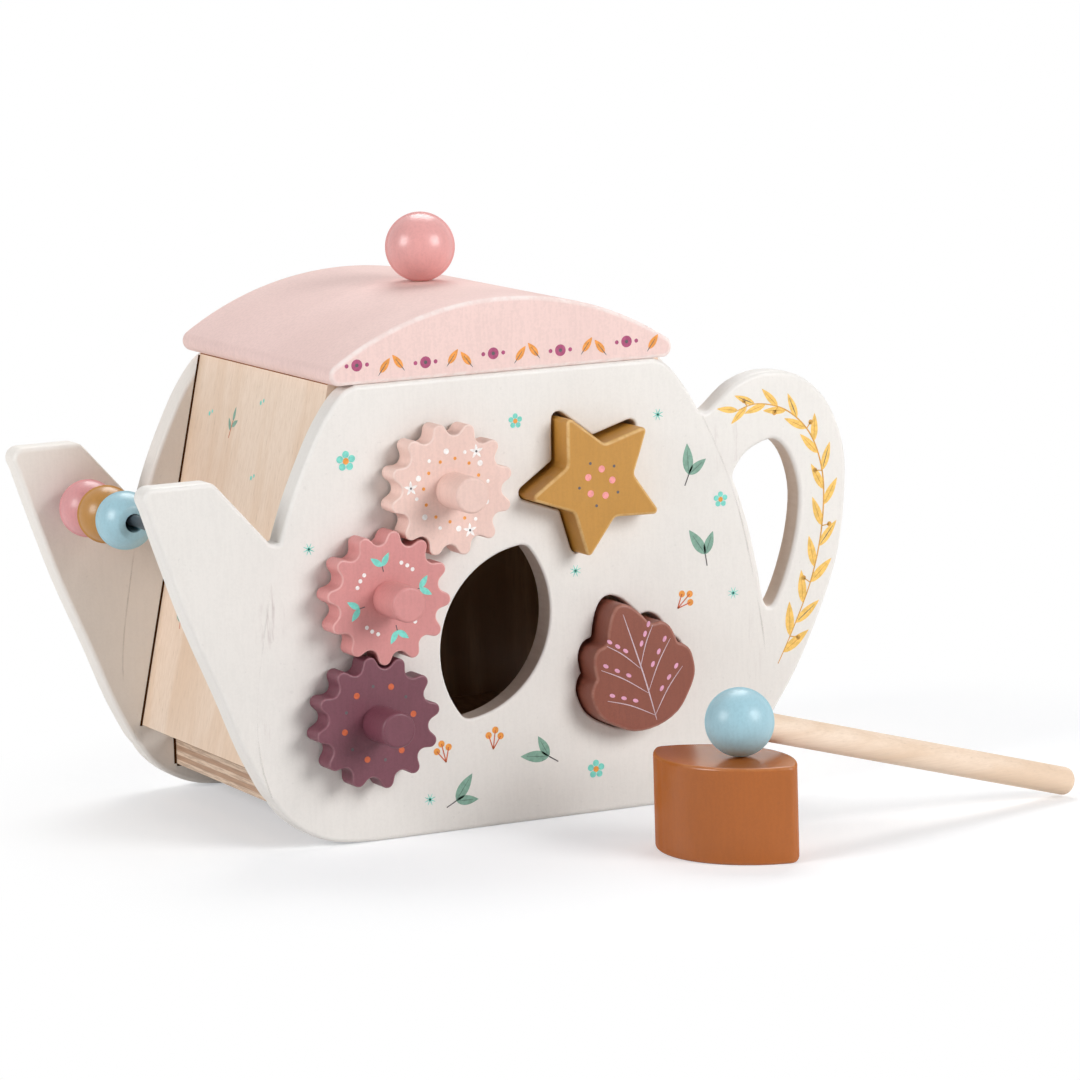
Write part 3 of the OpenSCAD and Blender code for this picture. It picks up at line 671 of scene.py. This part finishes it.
# flat shapes for glue lines and prints
def ribbon(path, width, tips=1.0):
    # a flat band along an open path; tips is the share of the width left at its ends
    left, right = [], []
    last = len(path) - 1
    for i, p in enumerate(path):
        along = Vector(path[min(i + 1, last)]) - Vector(path[max(i - 1, 0)])
        taper = tips + (1 - tips) * math.sin(math.pi * i / last)
        side = Vector((-along.y, along.x)).normalized() * width / 2 * taper
        left.append(Vector(p) + side)
        right.append(Vector(p) - side)
    return [(right[i], right[i + 1], left[i + 1], left[i]) for i in range(last)]


def turned(foot, turn, u, v):
    # the point u along an angle and v to its left
    c, s = math.cos(math.radians(turn)), math.sin(math.radians(turn))
    return Vector((foot[0] + u * c - v * s, foot[1] + u * s + v * c))


def around(middle, radius, turn):
    return turned(middle, turn, radius, 0)


def disc(middle, radius, sides=20, stretch=1.0, turn=0.0):
    angles = [2 * math.pi * k / sides for k in range(sides)]
    return [turned(middle, turn, radius * stretch * math.cos(a), radius * math.sin(a)) for a in angles]


def ring(middle, count, reach, turn, radius, sides):
    return [disc(around(middle, reach, 360 / count * k + turn), radius, sides) for k in range(count)]


def blade(foot, turn, length, width, belly=0.42, steps=9):
    # an almond leaf from its foot along an angle
    side = []
    for t in (k / steps for k in range(steps + 1)):
        swell = math.sin(math.pi * t ** (math.log(0.5) / math.log(belly))) ** 0.9
        side.append((length * t, width / 2 * swell))
    outline = side + [(u, -v) for u, v in side[-2:0:-1]]
    return [turned(foot, turn, u, v) for u, v in reversed(outline)]


def curve(points, steps=8):
    # a smooth row of points through the given ones
    row = []
    last = len(points) - 1
    for i in range(last):
        p0, p1, p2, p3 = (Vector(points[j]) for j in (max(i - 1, 0), i, i + 1, min(i + 2, last)))
        square, cube = 2 * p0 - 5 * p1 + 4 * p2 - p3, 3 * p1 - p0 - 3 * p2 + p3
        for t in (k / steps for k in range(steps)):
            row.append((2 * p1 + (p2 - p0) * t + square * t * t + cube * t ** 3) / 2)
    return row + [Vector(points[-1])]


def flatSheet(name, body, layers, place):
    # layers: (material, faces in the plane, in mm); place puts a plane point into space, facing the viewer
    points, faces, tints = [], [], []
    for k, (material, shapes) in enumerate(layers):
        for shape in shapes:
            faces.append(tuple(range(len(points), len(points) + len(shape))))
            points += [place(p[0] * mm, p[1] * mm, k) for p in shape]
            tints.append(k)
    mesh = plainMesh(name, points, faces)
    for material, shapes in layers:
        mesh.materials.append(material)
    mesh.polygons.foreach_set("material_index", tints)
    sheet = addObject(name, mesh)
    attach(sheet, body)


printLift = {"first": 0.03 * mm, "step": 0.012 * mm}


def onFace(level):
    # prints on an upright face that looks to the front
    return lambda u, v, k: (u, level - printLift["first"] - k * printLift["step"], v)


def printSheet(name, body, art, place):
    # art: the shapes of each ink; a later ink lies over an earlier one
    flatSheet(name, body, [(inks[title], art[title]) for title in art if art[title]], place)


# side panels: three boards glued edge to edge
panel = {
    "edge": 2.0 * mm, "cutoutEdge": 1.2 * mm, "boreEdge": 0.3 * mm, "boreSize": 12 * mm, "handleSide": 100 * mm,
    "seamWidth": 0.7, "seamStop": 2.4, "seamLift": 0.03 * mm,
}


def withNeighbours(loop, others):
    # a neighbour's corner that lies on one of this loop's edges becomes a point of the loop
    full = []
    for a, b in zip(loop, loop[1:] + loop[:1]):
        full.append(a)
        edge = Vector(b) - Vector(a)
        onEdge = []
        for q in others:
            share = (Vector(q) - Vector(a)).dot(edge) / edge.length_squared
            if 0.001 < share < 0.999 and (Vector(a) + edge * share - Vector(q)).length < build["hair"]:
                onEdge.append((share, q))
        full += [q for share, q in sorted(onEdge)]
    return full


def panelShape(side):
    names = [side + "_body", side + "_spout", side + "_handle"]
    boards = {name: boardOutline(name, "near" if side == "front" else "far") for name in names}
    everyPoint = [p for loops in boards.values() for loop in loops for p in loop]

    def first(p):
        # points within a hair of each other become one
        return next(q for q in everyPoint if max(abs(q[0] - p[0]), abs(q[1] - p[1])) < build["hair"])

    for name in names:
        boards[name] = [[first(p) for p in loop] for loop in boards[name]]
    owner = {}
    for name in names:
        others = {p for other in names if other != name for loop in boards[other] for p in loop}
        for loop in boards[name]:
            full = withNeighbours(loop, others)
            for a, b in zip(full, full[1:] + full[:1]):
                if a != b:
                    owner[(a, b)] = name
    outline = chained([e for e in owner if e[::-1] not in owner])
    seams = chained([e for e in owner if e[::-1] in owner and owner[e] == names[0]])
    corners = []
    for loop in (row[:-1] for row in outline):
        across = [p[0] for p in loop]
        if max(across) - min(across) < panel["boreSize"]:
            edge = panel["boreEdge"]
        elif max(across) < panel["handleSide"]:
            edge = panel["cutoutEdge"]
        else:
            edge = panel["edge"]
        corners += plainCorners([loop], edge)
    near, far = nearFar(names[0])
    piece = roundedBoard(side + "Panel", corners, near, far)
    dress(piece, "teapot", "cream_paint", *names, material=finish[side + "Cream"])
    return [[(p[0] / mm, p[1] / mm) for p in seam] for seam in seams], near, far


def withoutEnds(path, cut, step=1.0):
    # a finer row of points along the path, without those close to its ends
    fine = []
    for a, b in zip(path, path[1:]):
        parts = max(1, round((Vector(b) - Vector(a)).length / step))
        fine += [Vector(a).lerp(Vector(b), k / parts) for k in range(parts)]
    return [p for p in fine if min((p - Vector(path[0])).length, (p - Vector(path[-1])).length) > cut]


for side in ("front", "back"):
    seams, near, far = panelShape(side)
    bands = [face for seam in seams for face in ribbon(withoutEnds(seam, panel["seamStop"]), panel["seamWidth"])]
    ends = (("Near", bands, near - panel["seamLift"]), ("Far", [f[::-1] for f in bands], far + panel["seamLift"]))
    for title, faces, level in ends:
        sheet = [(finish["seam"], faces)]
        flatSheet(side + "Seam" + title, "teapot", sheet, lambda u, v, k: (u, level, v))
print("teapot: panels shaped")

# gears and turning knobs
gearTrain = {
    "edge": 0.8 * mm, "gripEdge": 1.3 * mm,
    "slots": {"top": "peach_paint", "middle": "rose_paint", "bottom": "plum_paint"},
}


def turnedPiece(name, place, direction, profile, sides=72):
    # profile: (radius, distance along direction), closed when it ends where it starts
    axis = Vector(direction).normalized()
    across = axis.orthogonal().normalized()
    other = axis.cross(across)
    points, faces = [], []
    for radius, along in profile:
        for k in range(sides):
            turn = 2 * math.pi * k / sides
            out = across * math.cos(turn) + other * math.sin(turn)
            points.append(Vector(place) + axis * along + out * radius)
    for row in range(len(profile) - 1):
        for k in range(sides):
            a, b = row * sides + k, row * sides + (k + 1) % sides
            faces.append((a, b, b + sides, a + sides))
    if profile[0] != profile[-1]:
        faces.append(tuple(range(sides - 1, -1, -1)))
        faces.append(tuple(range(len(points) - sides, len(points))))
    return makeMesh(name, points, faces)


def roundEnd(radius, length, edge, steps=6):
    turns = [math.radians(90 * k / steps) for k in range(steps + 1)]
    inner, foot = radius - edge, length - edge
    return [(radius, 0.0)] + [(inner + edge * math.cos(t), foot + edge * math.sin(t)) for t in turns]


for level, slot in gearTrain["slots"].items():
    body = level + "_gear"
    dressBoard("gear_" + level, body, slot, gearTrain["edge"])
    low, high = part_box("grip_" + level)
    middle = ((low[0] + high[0]) / 2, high[1], (low[2] + high[2]) / 2)
    outline = roundEnd((high[0] - low[0]) / 2, high[1] - low[1], gearTrain["gripEdge"])
    dress(turnedPiece("grip_" + level + "Turned", middle, (0, -1, 0), outline), body, slot, "grip_" + level)
print("teapot: gears cut")

# posting shapes and lid
posting = {"edge": 1.4 * mm, "lidEdge": 2.1 * mm}
dressBoard("star_piece", "star", "mustard_paint", posting["edge"])
dressBoard("leaf_piece", "leaf", "chestnut_paint", posting["edge"])
dressBoard("seed_piece", "seed", "caramel_paint", posting["edge"], "z")
dressBoard("lid", "lid", "pale_pink_paint", posting["lidEdge"])

# beads
beads = {"bore": 4.0 * mm, "slots": {"pink": "pink_paint", "ochre": "ochre_paint", "blue": "blue_paint"}}


def beadProfile(radius, bore, length, steps=28):
    limit = math.asin(length / 2 / radius)
    turns = [-limit + 2 * limit * k / steps for k in range(steps + 1)]
    start = [(bore, -length / 2)]
    return start + [(radius * math.cos(t), radius * math.sin(t)) for t in turns] + [(bore, length / 2)] + start


for tint, slot in beads["slots"].items():
    name = "bead_" + tint
    low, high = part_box(name)
    middle = [(a + b) / 2 for a, b in zip(low, high)]
    outline = beadProfile((high[0] - low[0]) / 2, beads["bore"], high[1] - low[1])
    dress(turnedPiece(name + "Turned", middle, (0, -1, 0), outline), tint + "_bead", slot, name)

# chime bars and rails
chimes = {"barEdge": 0.6 * mm, "railEdge": 0.9 * mm, "order": ["rose", "mustard", "blue", "peach", "plum"]}
for k, tint in enumerate(chimes["order"]):
    dressBoard("bar_%d" % (k + 1), "teapot", "bar_" + tint, chimes["barEdge"])
for name in ("chime_rail_high", "chime_rail_low"):
    dressBoard(name, "teapot", "beech", chimes["railEdge"])

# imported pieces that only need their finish
plainPieces = {
    "birch_board": ["spout_end_wall", "handle_end_wall"], "birch_plywood": ["base_board"],
    "knob_rose_paint": ["lid_knob"], "blue_paint": ["mallet_ball"], "stick_wood": ["mallet_stick"],
    "dark_rod": ["bead_rod"], "steel_pins": ["chime_pins"],
    "beech": ["front_dowels", "back_dowels", "lid_dowel", "lid_locator"],
}
for part in ("axle_", "spacer_", "retainer_"):
    plainPieces["beech"] += [part + level for level in gearTrain["slots"]]
for slot, names in plainPieces.items():
    for name in names:
        cover(nodes[name], finish[slot])
print("teapot: finishes on")

# painted shade: dark strips on the back panel where the walls and the base meet it, standing in for the shadow in
# the joints
joints = {
    "width": 1.2, "panelFace": 142.0 * mm, "lift": 0.04 * mm, "tuck": 0.5,
    "wall": ((111.0, 31.0), (76.5, 191.0)), "base": (95.5, 12.0, 27.0),
}
half = joints["width"] / 2
(lowX, lowZ), (highX, highZ) = joints["wall"]
baseX, baseLow, baseHigh = joints["base"]
strips = []
for sense in (-1, 1):
    wall = [(sense * (lowX + half), lowZ - joints["tuck"]), (sense * (highX + half), highZ)]
    foot = [(sense * (baseX + half), baseLow), (sense * (baseX + half), baseHigh)]
    strips += ribbon(wall, joints["width"]) + ribbon(foot, joints["width"])
strips += ribbon([(-baseX, baseLow - half), (baseX, baseLow - half)], joints["width"])
flatSheet("paintedJointShade", "teapot", [(finish["jointShade"], strips)],
          lambda u, v, k: (u, joints["panelFace"] - joints["lift"], v))

# prints on the front panel
frontPrint = {
    "face": -6 * mm, "stem": 0.5, "vein": (0.45, 0.4), "petal": 0.56, "eye": 0.5, "cross": (2.6, 0.6, 0.3),
    "leafPairs": [(84, 141, 66), (91, 106, 98), (-30, 13, 28), (14, 27, 148)],
    "leaves": [(26, 13.5, 5.0, 10.5), (-30, 10.5, 4.2, 8.0)],  # lean, length, width, reach of the vein
    "blossoms": [(-75, 161, 2.8), (3, 171, 2.1), (36, 19, 2.6), (99, 129, 2.2)],
    "berries": [(-12, 33, 78), (77, 84, 40), (-34, 30, 100)],
    "twigs": [(6.0, -2.4), (8.2, 0.5), (5.6, 3.2)],
    "crosses": [(29, 105), (-42, 15), (104, 88), (-93, 126), (70, 168)],
}
art = {title: [] for title in inks}
for x, z, turn in frontPrint["leafPairs"]:
    foot = Vector((x, z))
    art["charcoal"] += ribbon(curve([around(foot, -5, turn), foot], 3), frontPrint["stem"])
    for lean, length, width, reach in frontPrint["leaves"]:
        tip = around(foot, reach, turn + lean)
        art["sage"].append(blade(foot, turn + lean, length, width))
        art["deepSage"] += ribbon([foot, (foot + tip) / 2, tip], *frontPrint["vein"])
for x, z, r in frontPrint["blossoms"]:
    art["turquoise"] += ring((x, z), 5, r, 90, r * frontPrint["petal"], 14)
    art["orange"].append(disc((x, z), r * frontPrint["eye"], 12))
for x, z, turn in frontPrint["berries"]:
    foot = Vector((x, z))
    for reach, lean in frontPrint["twigs"]:
        tip = turned(foot, turn, reach, lean)
        art["rust"] += ribbon([foot, (foot + tip) / 2, tip], frontPrint["stem"])
        art["orange"].append(disc(tip, 1.5, 14))
reach, width, tips = frontPrint["cross"]
for spot in frontPrint["crosses"]:
    for turn in (20, 65, 110, 155):
        art["turquoise"] += ribbon([around(spot, -reach, turn), spot, around(spot, reach, turn)], width, tips)
printSheet("frontPrint", "teapot", art, onFace(frontPrint["face"]))

# golden vine on the handle
vine = {
    "path": [(125, 55), (133, 70), (142.5, 91), (148, 113), (149, 135), (143.5, 153), (132, 164.5), (118, 168.5),
             (107, 166)],
    "leaves": 21, "length": 15.5, "width": 4.3, "lean": 27, "stem": 0.7, "shrink": 0.35,
    "rib": (0.1, 0.4, 0.8), "budReach": 4.2, "budLean": 75, "bud": 1.1,
}
stem = curve(vine["path"], 10)
art = {"gold": [], "darkGold": ribbon(stem, vine["stem"], 0.5), "charcoal": []}
for k in range(vine["leaves"]):
    i = round(4 + (len(stem) - 7) * k / (vine["leaves"] - 1))
    along = stem[i + 1] - stem[i - 1]
    turn = math.degrees(math.atan2(along.y, along.x))
    side = 1 if k % 2 else -1
    size = 1.0 - vine["shrink"] * k / vine["leaves"]
    lean = turn + side * vine["lean"]
    art["gold"].append(blade(stem[i], lean, vine["length"] * size, vine["width"] * size))
    rib = [around(stem[i], vine["length"] * size * share, lean) for share in vine["rib"]]
    art["charcoal" if k % 4 == 2 else "darkGold"] += ribbon(rib, 0.4, 0.3)
    bud = around(stem[i], vine["budReach"] * size, turn - side * vine["budLean"])
    if k % 3 == 1:
        art["darkGold"] += ribbon([stem[i], (stem[i] + bud) / 2, bud], 0.5)
        art["darkGold"].append(disc(bud, vine["bud"], 14))
printSheet("handleVine", "teapot", art, onFace(frontPrint["face"]))

# border on the lid
border = {
    "z": 199.6, "from": -68.5, "to": 66.5, "beats": 14, "sway": 0.6,
    "berry": 2.5, "eye": 0.8, "dot": 0.9, "dotGap": 4.6, "drop": 2.8, "leaf": (7.6, 3.0), "vein": 5.0,
}
art = {"berry": [], "orange": [], "charcoal": []}
for k in range(border["beats"]):
    x = border["from"] + (border["to"] - border["from"]) * k / (border["beats"] - 1)
    z = border["z"] + border["sway"] * (-1) ** k
    if k % 3 == 0:
        art["berry"].append(disc((x, z), border["berry"]))
        art["berry"] += [disc((x + gap, z), border["dot"], 12) for gap in (-border["dotGap"], border["dotGap"])]
        art["charcoal"].append(disc((x, z), border["eye"], 12))
    else:
        turn = 52 if k % 3 == 1 else 128
        foot = Vector((x, z - border["drop"]))
        art["orange"].append(blade(foot, turn, *border["leaf"]))
        tip = around(foot, border["vein"], turn)
        art["charcoal"] += ribbon([foot - (tip - foot) * 0.25, foot, tip], 0.4, 0.4)
printSheet("lidBorder", "lid", art, onFace(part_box("lid")[0][1]))

# rings of marks on the gears
gearPrint = {
    "face": -19.6 * mm,
    "flowers": 19.0, "petal": (3.2, 1.3), "leaves": 14.0, "leaf": (6.4, 2.7), "stems": 11.6,
    # for each ink the count, reach, turn, radius and sides of its dots
    "top": {
        "white": [(6, 16.5, 8, 0.8, 14), (6, 16.5, 38, 1.25, 14)], "orange": [(12, 13.2, 23, 0.75, 12)],
        "charcoal": [(3, 19.0, 53, 0.5, 10)],
    },
    "middle": {"turquoise": [], "white": [(4, 15.5, turn, 0.9, 12) for turn in (46, 57, 68)], "charcoal": []},
    "bottom": {"rust": [(6, 15.8, 8, 1.35, 14)], "charcoal": [(6, 15.8, 38, 0.7, 12)]},
}
for level, slot in gearTrain["slots"].items():
    low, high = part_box("axle_" + level)
    middle = Vector(((low[0] + high[0]) / 2 / mm, (low[2] + high[2]) / 2 / mm))
    art = {title: [dot for row in rows for dot in ring(middle, *row)] for title, rows in gearPrint[level].items()}
    if level == "top":
        for k in range(3):
            spot = around(middle, gearPrint["flowers"], 120 * k + 53)
            art["white"] += [blade(spot, 72 * j + 20, *gearPrint["petal"]) for j in range(5)]
    if level == "middle":
        for turn in (12, 102, 192, 282):
            foot = around(middle, gearPrint["leaves"], turn)
            art["turquoise"] += [blade(foot, turn + lean, *gearPrint["leaf"]) for lean in (42, -42)]
            art["charcoal"] += ribbon([around(middle, gearPrint["stems"], turn), foot], 0.4)
    printSheet(level + "GearPrint", level + "_gear", art, onFace(gearPrint["face"]))

# marks on star, leaf and wall
starPrint = {"middle": (35.6, 143.2), "blossom": (6.0, 7.5, 1.5, 16), "charcoal": (9.6, 43.5, 0.65, 12)}
art = {title: ring(starPrint["middle"], 5, *starPrint[title]) for title in ("blossom", "charcoal")}
printSheet("starPrint", "star", art, onFace(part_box("star_piece")[0][1]))

leafPrint = {
    "stalk": (60.4, 36.7), "turn": 107.4, "length": 52, "leadWidth": (0.6, 0.35), "veinWidth": (0.4, 0.4),
    "veins": [(0.1, 52, 24), (0.3, 44, 25), (0.52, 37, 19)],  # place along the lead, lean, reach
    "marks": (0.35, 0.6, 0.85), "mark": 0.8,
}
stalk = Vector(leafPrint["stalk"])
lead = around((0, 0), 1, leafPrint["turn"])
spine = [stalk + lead * 3, stalk + lead * 24 + Vector((0.6, 0)), stalk + lead * leafPrint["length"]]
art = {"lilac": ribbon(curve(spine, 6), *leafPrint["leadWidth"]), "orchid": []}
for share, lean, reach in leafPrint["veins"]:
    foot = stalk + lead * leafPrint["length"] * share
    for side in (-1, 1):
        turn = leafPrint["turn"] + side * lean
        tip = around(foot, reach, turn)
        bend = (foot + tip) / 2 + lead * 1.2
        art["lilac"] += ribbon(curve([foot, bend, tip], 5), *leafPrint["veinWidth"])
        for part in leafPrint["marks"]:
            spot = foot + (tip - foot) * part + lead * (5.2 - 2 * part)
            art["orchid"].append(disc(spot, leafPrint["mark"], 14, 1.7, turn))
printSheet("leafPrint", "leaf", art, onFace(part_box("leaf_piece")[0][1]))

wallPrint = {
    "low": (-111.0, 31.0), "high": (-76.5, 192.0), "panelFace": 142,
    "sprigs": [(132, 44, 75), (46, 24, 100)], "sprigReach": 8, "stem": 0.6, "leaf": (6.5, 2.4),
    "leaves": [(0.4, 48), (0.65, -46), (0.95, 4)],  # place along the stem, lean
    "dots": [(150, 72), (118, 74), (140, 20)],
    # where the strip of painted shade under the lid lies on the wall
    "gap": {"up": 164.35, "width": 0.42, "across": (136, 0)},
}
slope = (Vector(wallPrint["high"]) - Vector(wallPrint["low"])).normalized()
wallOut = Vector((-slope.y, 0, slope.x))


def onWall(u, v, k):
    # u runs from the back panel toward the front, v up the slope
    x, z = wallPrint["low"]
    foot = Vector((x + slope.x * v / mm, wallPrint["panelFace"] - u / mm, z + slope.y * v / mm)) * mm
    return foot + wallOut * (printLift["first"] + k * printLift["step"])


art = {"sage": [], "turquoise": [], "rust": []}
for v, u, turn in wallPrint["sprigs"]:
    foot = Vector((u, v))
    tip = around(foot, wallPrint["sprigReach"], turn)
    art["rust"] += ribbon([foot, (foot + tip) / 2, tip], wallPrint["stem"])
    for share, lean in wallPrint["leaves"]:
        art["sage"].append(blade(foot + (tip - foot) * share, turn + lean, *wallPrint["leaf"]))
for v, u in wallPrint["dots"]:
    art["turquoise"] += [disc((u, v), 1.0, 12), disc((u + 2.6, v + 1.2), 0.8, 12)]
printSheet("wallPrint", "teapot", art, onWall)

# painted shade: a dark strip along the wall's top where it meets the lid, standing in for the shade in the gap
# under the lid
gap = wallPrint["gap"]
strip = ribbon([(u, gap["up"]) for u in gap["across"]], gap["width"])
flatSheet("lidGapShade", "teapot", [(finish["lidGapShade"], strip)], onWall)
print("teapot: prints laid")

# stage and light
stage = {
    "floorSize": 40.0, "floorDrop": 0.05 * mm, "floorSeen": 0.68, "floorWhite": 0.86,
    "floorLift": 0.4, "liftTint": (0.95, 0.97, 1.0, 1), "worldLevel": 0.15,
    "shadowMiddle": (0.08, 0.02, 0.0), "shadowReach": (0.19, 0.32),
}
white = (1, 1, 1, 1)
half = stage["floorSize"] / 2
corners = [(x, y, -stage["floorDrop"]) for x, y in ((-half, -half), (half, -half), (half, half), (-half, half))]
floor = addObject("floor", plainMesh("floor", corners, [(0, 1, 2, 3)]))


def seenDirectly(tree):
    # rays from the camera, and those mirrored or passed through
    rays = addNode(tree, "LightPath").outputs
    seen = calc(tree, "MAXIMUM", rays["Is Camera Ray"], rays["Is Glossy Ray"])
    return calc(tree, "MAXIMUM", seen, rays["Is Transmission Ray"])


def emptyTree(holder):
    holder.use_nodes = True
    holder.node_tree.nodes.clear()
    return holder.node_tree


def joined(tree, kind, first, second, **values):
    # both shaders go into the last two sockets
    node = addNode(tree, kind, **values)
    for k, part in ((-2, first), (-1, second)):
        tree.links.new(part.outputs[0], node.inputs[k])
    return node


def toOutput(tree, kind, node):
    tree.links.new(node.outputs[0], addNode(tree, kind).inputs["Surface"])


floorPaper = bpy.data.materials.new("floorPaper")
tree = emptyTree(floorPaper)
where = addNode(tree, "TexCoord").outputs["Object"]
far = addNode(tree, "VectorMath")
far.operation = "DISTANCE"
for socket, value in zip(far.inputs, (where, stage["shadowMiddle"])):
    plug(tree, socket, value)
seen = seenDirectly(tree)
away = times(tree, spread(tree, far.outputs["Value"], *stage["shadowReach"]), seen)
dimming = times(tree, seen, stage["floorWhite"] - stage["floorSeen"])
matt = addNode(tree, "BsdfDiffuse", Color=calc(tree, "SUBTRACT", stage["floorWhite"], dimming))
strength = times(tree, seen, stage["floorLift"])
lift = addNode(tree, "Emission", Color=stage["liftTint"], Strength=strength)
near = joined(tree, "AddShader", matt, lift)
plain = addNode(tree, "Emission", Color=white, Strength=1.0)
both = joined(tree, "MixShader", near, plain, Fac=away)
toOutput(tree, "OutputMaterial", both)
floor.data.materials.append(floorPaper)

world = bpy.data.worlds.new("studio")
tree = emptyTree(world)
level = calc(tree, "ADD", times(tree, seenDirectly(tree), 1 - stage["worldLevel"]), stage["worldLevel"])
backdrop = addNode(tree, "Background", Color=white, Strength=level)
toOutput(tree, "OutputWorld", backdrop)
bpy.context.scene.world = world

lamps = {
    "keyBox": {"place": (1.10, -1.86, 1.04), "size": 1.1, "watts": 38.5},
    "leftBox": {"place": (-1.9, -0.15, 0.95), "size": 0.9, "watts": 21.5},
    "backBox": {"place": (0.55, 0.95, 1.58), "size": 1.0, "watts": 16.0},
}
target = Vector((0.0, 0.05, 0.1))
for name, lamp in lamps.items():
    data = bpy.data.lights.new(name, "AREA")
    data.shape = "SQUARE"
    data.size = lamp["size"]
    data.energy = lamp["watts"]
    box = addObject(name, data)
    box.location = lamp["place"]
    box.rotation_euler = (target - Vector(lamp["place"])).to_track_quat("-Z", "Y").to_euler()

bpy.context.scene.view_settings.view_transform = "Standard"
print("teapot: stage lit")
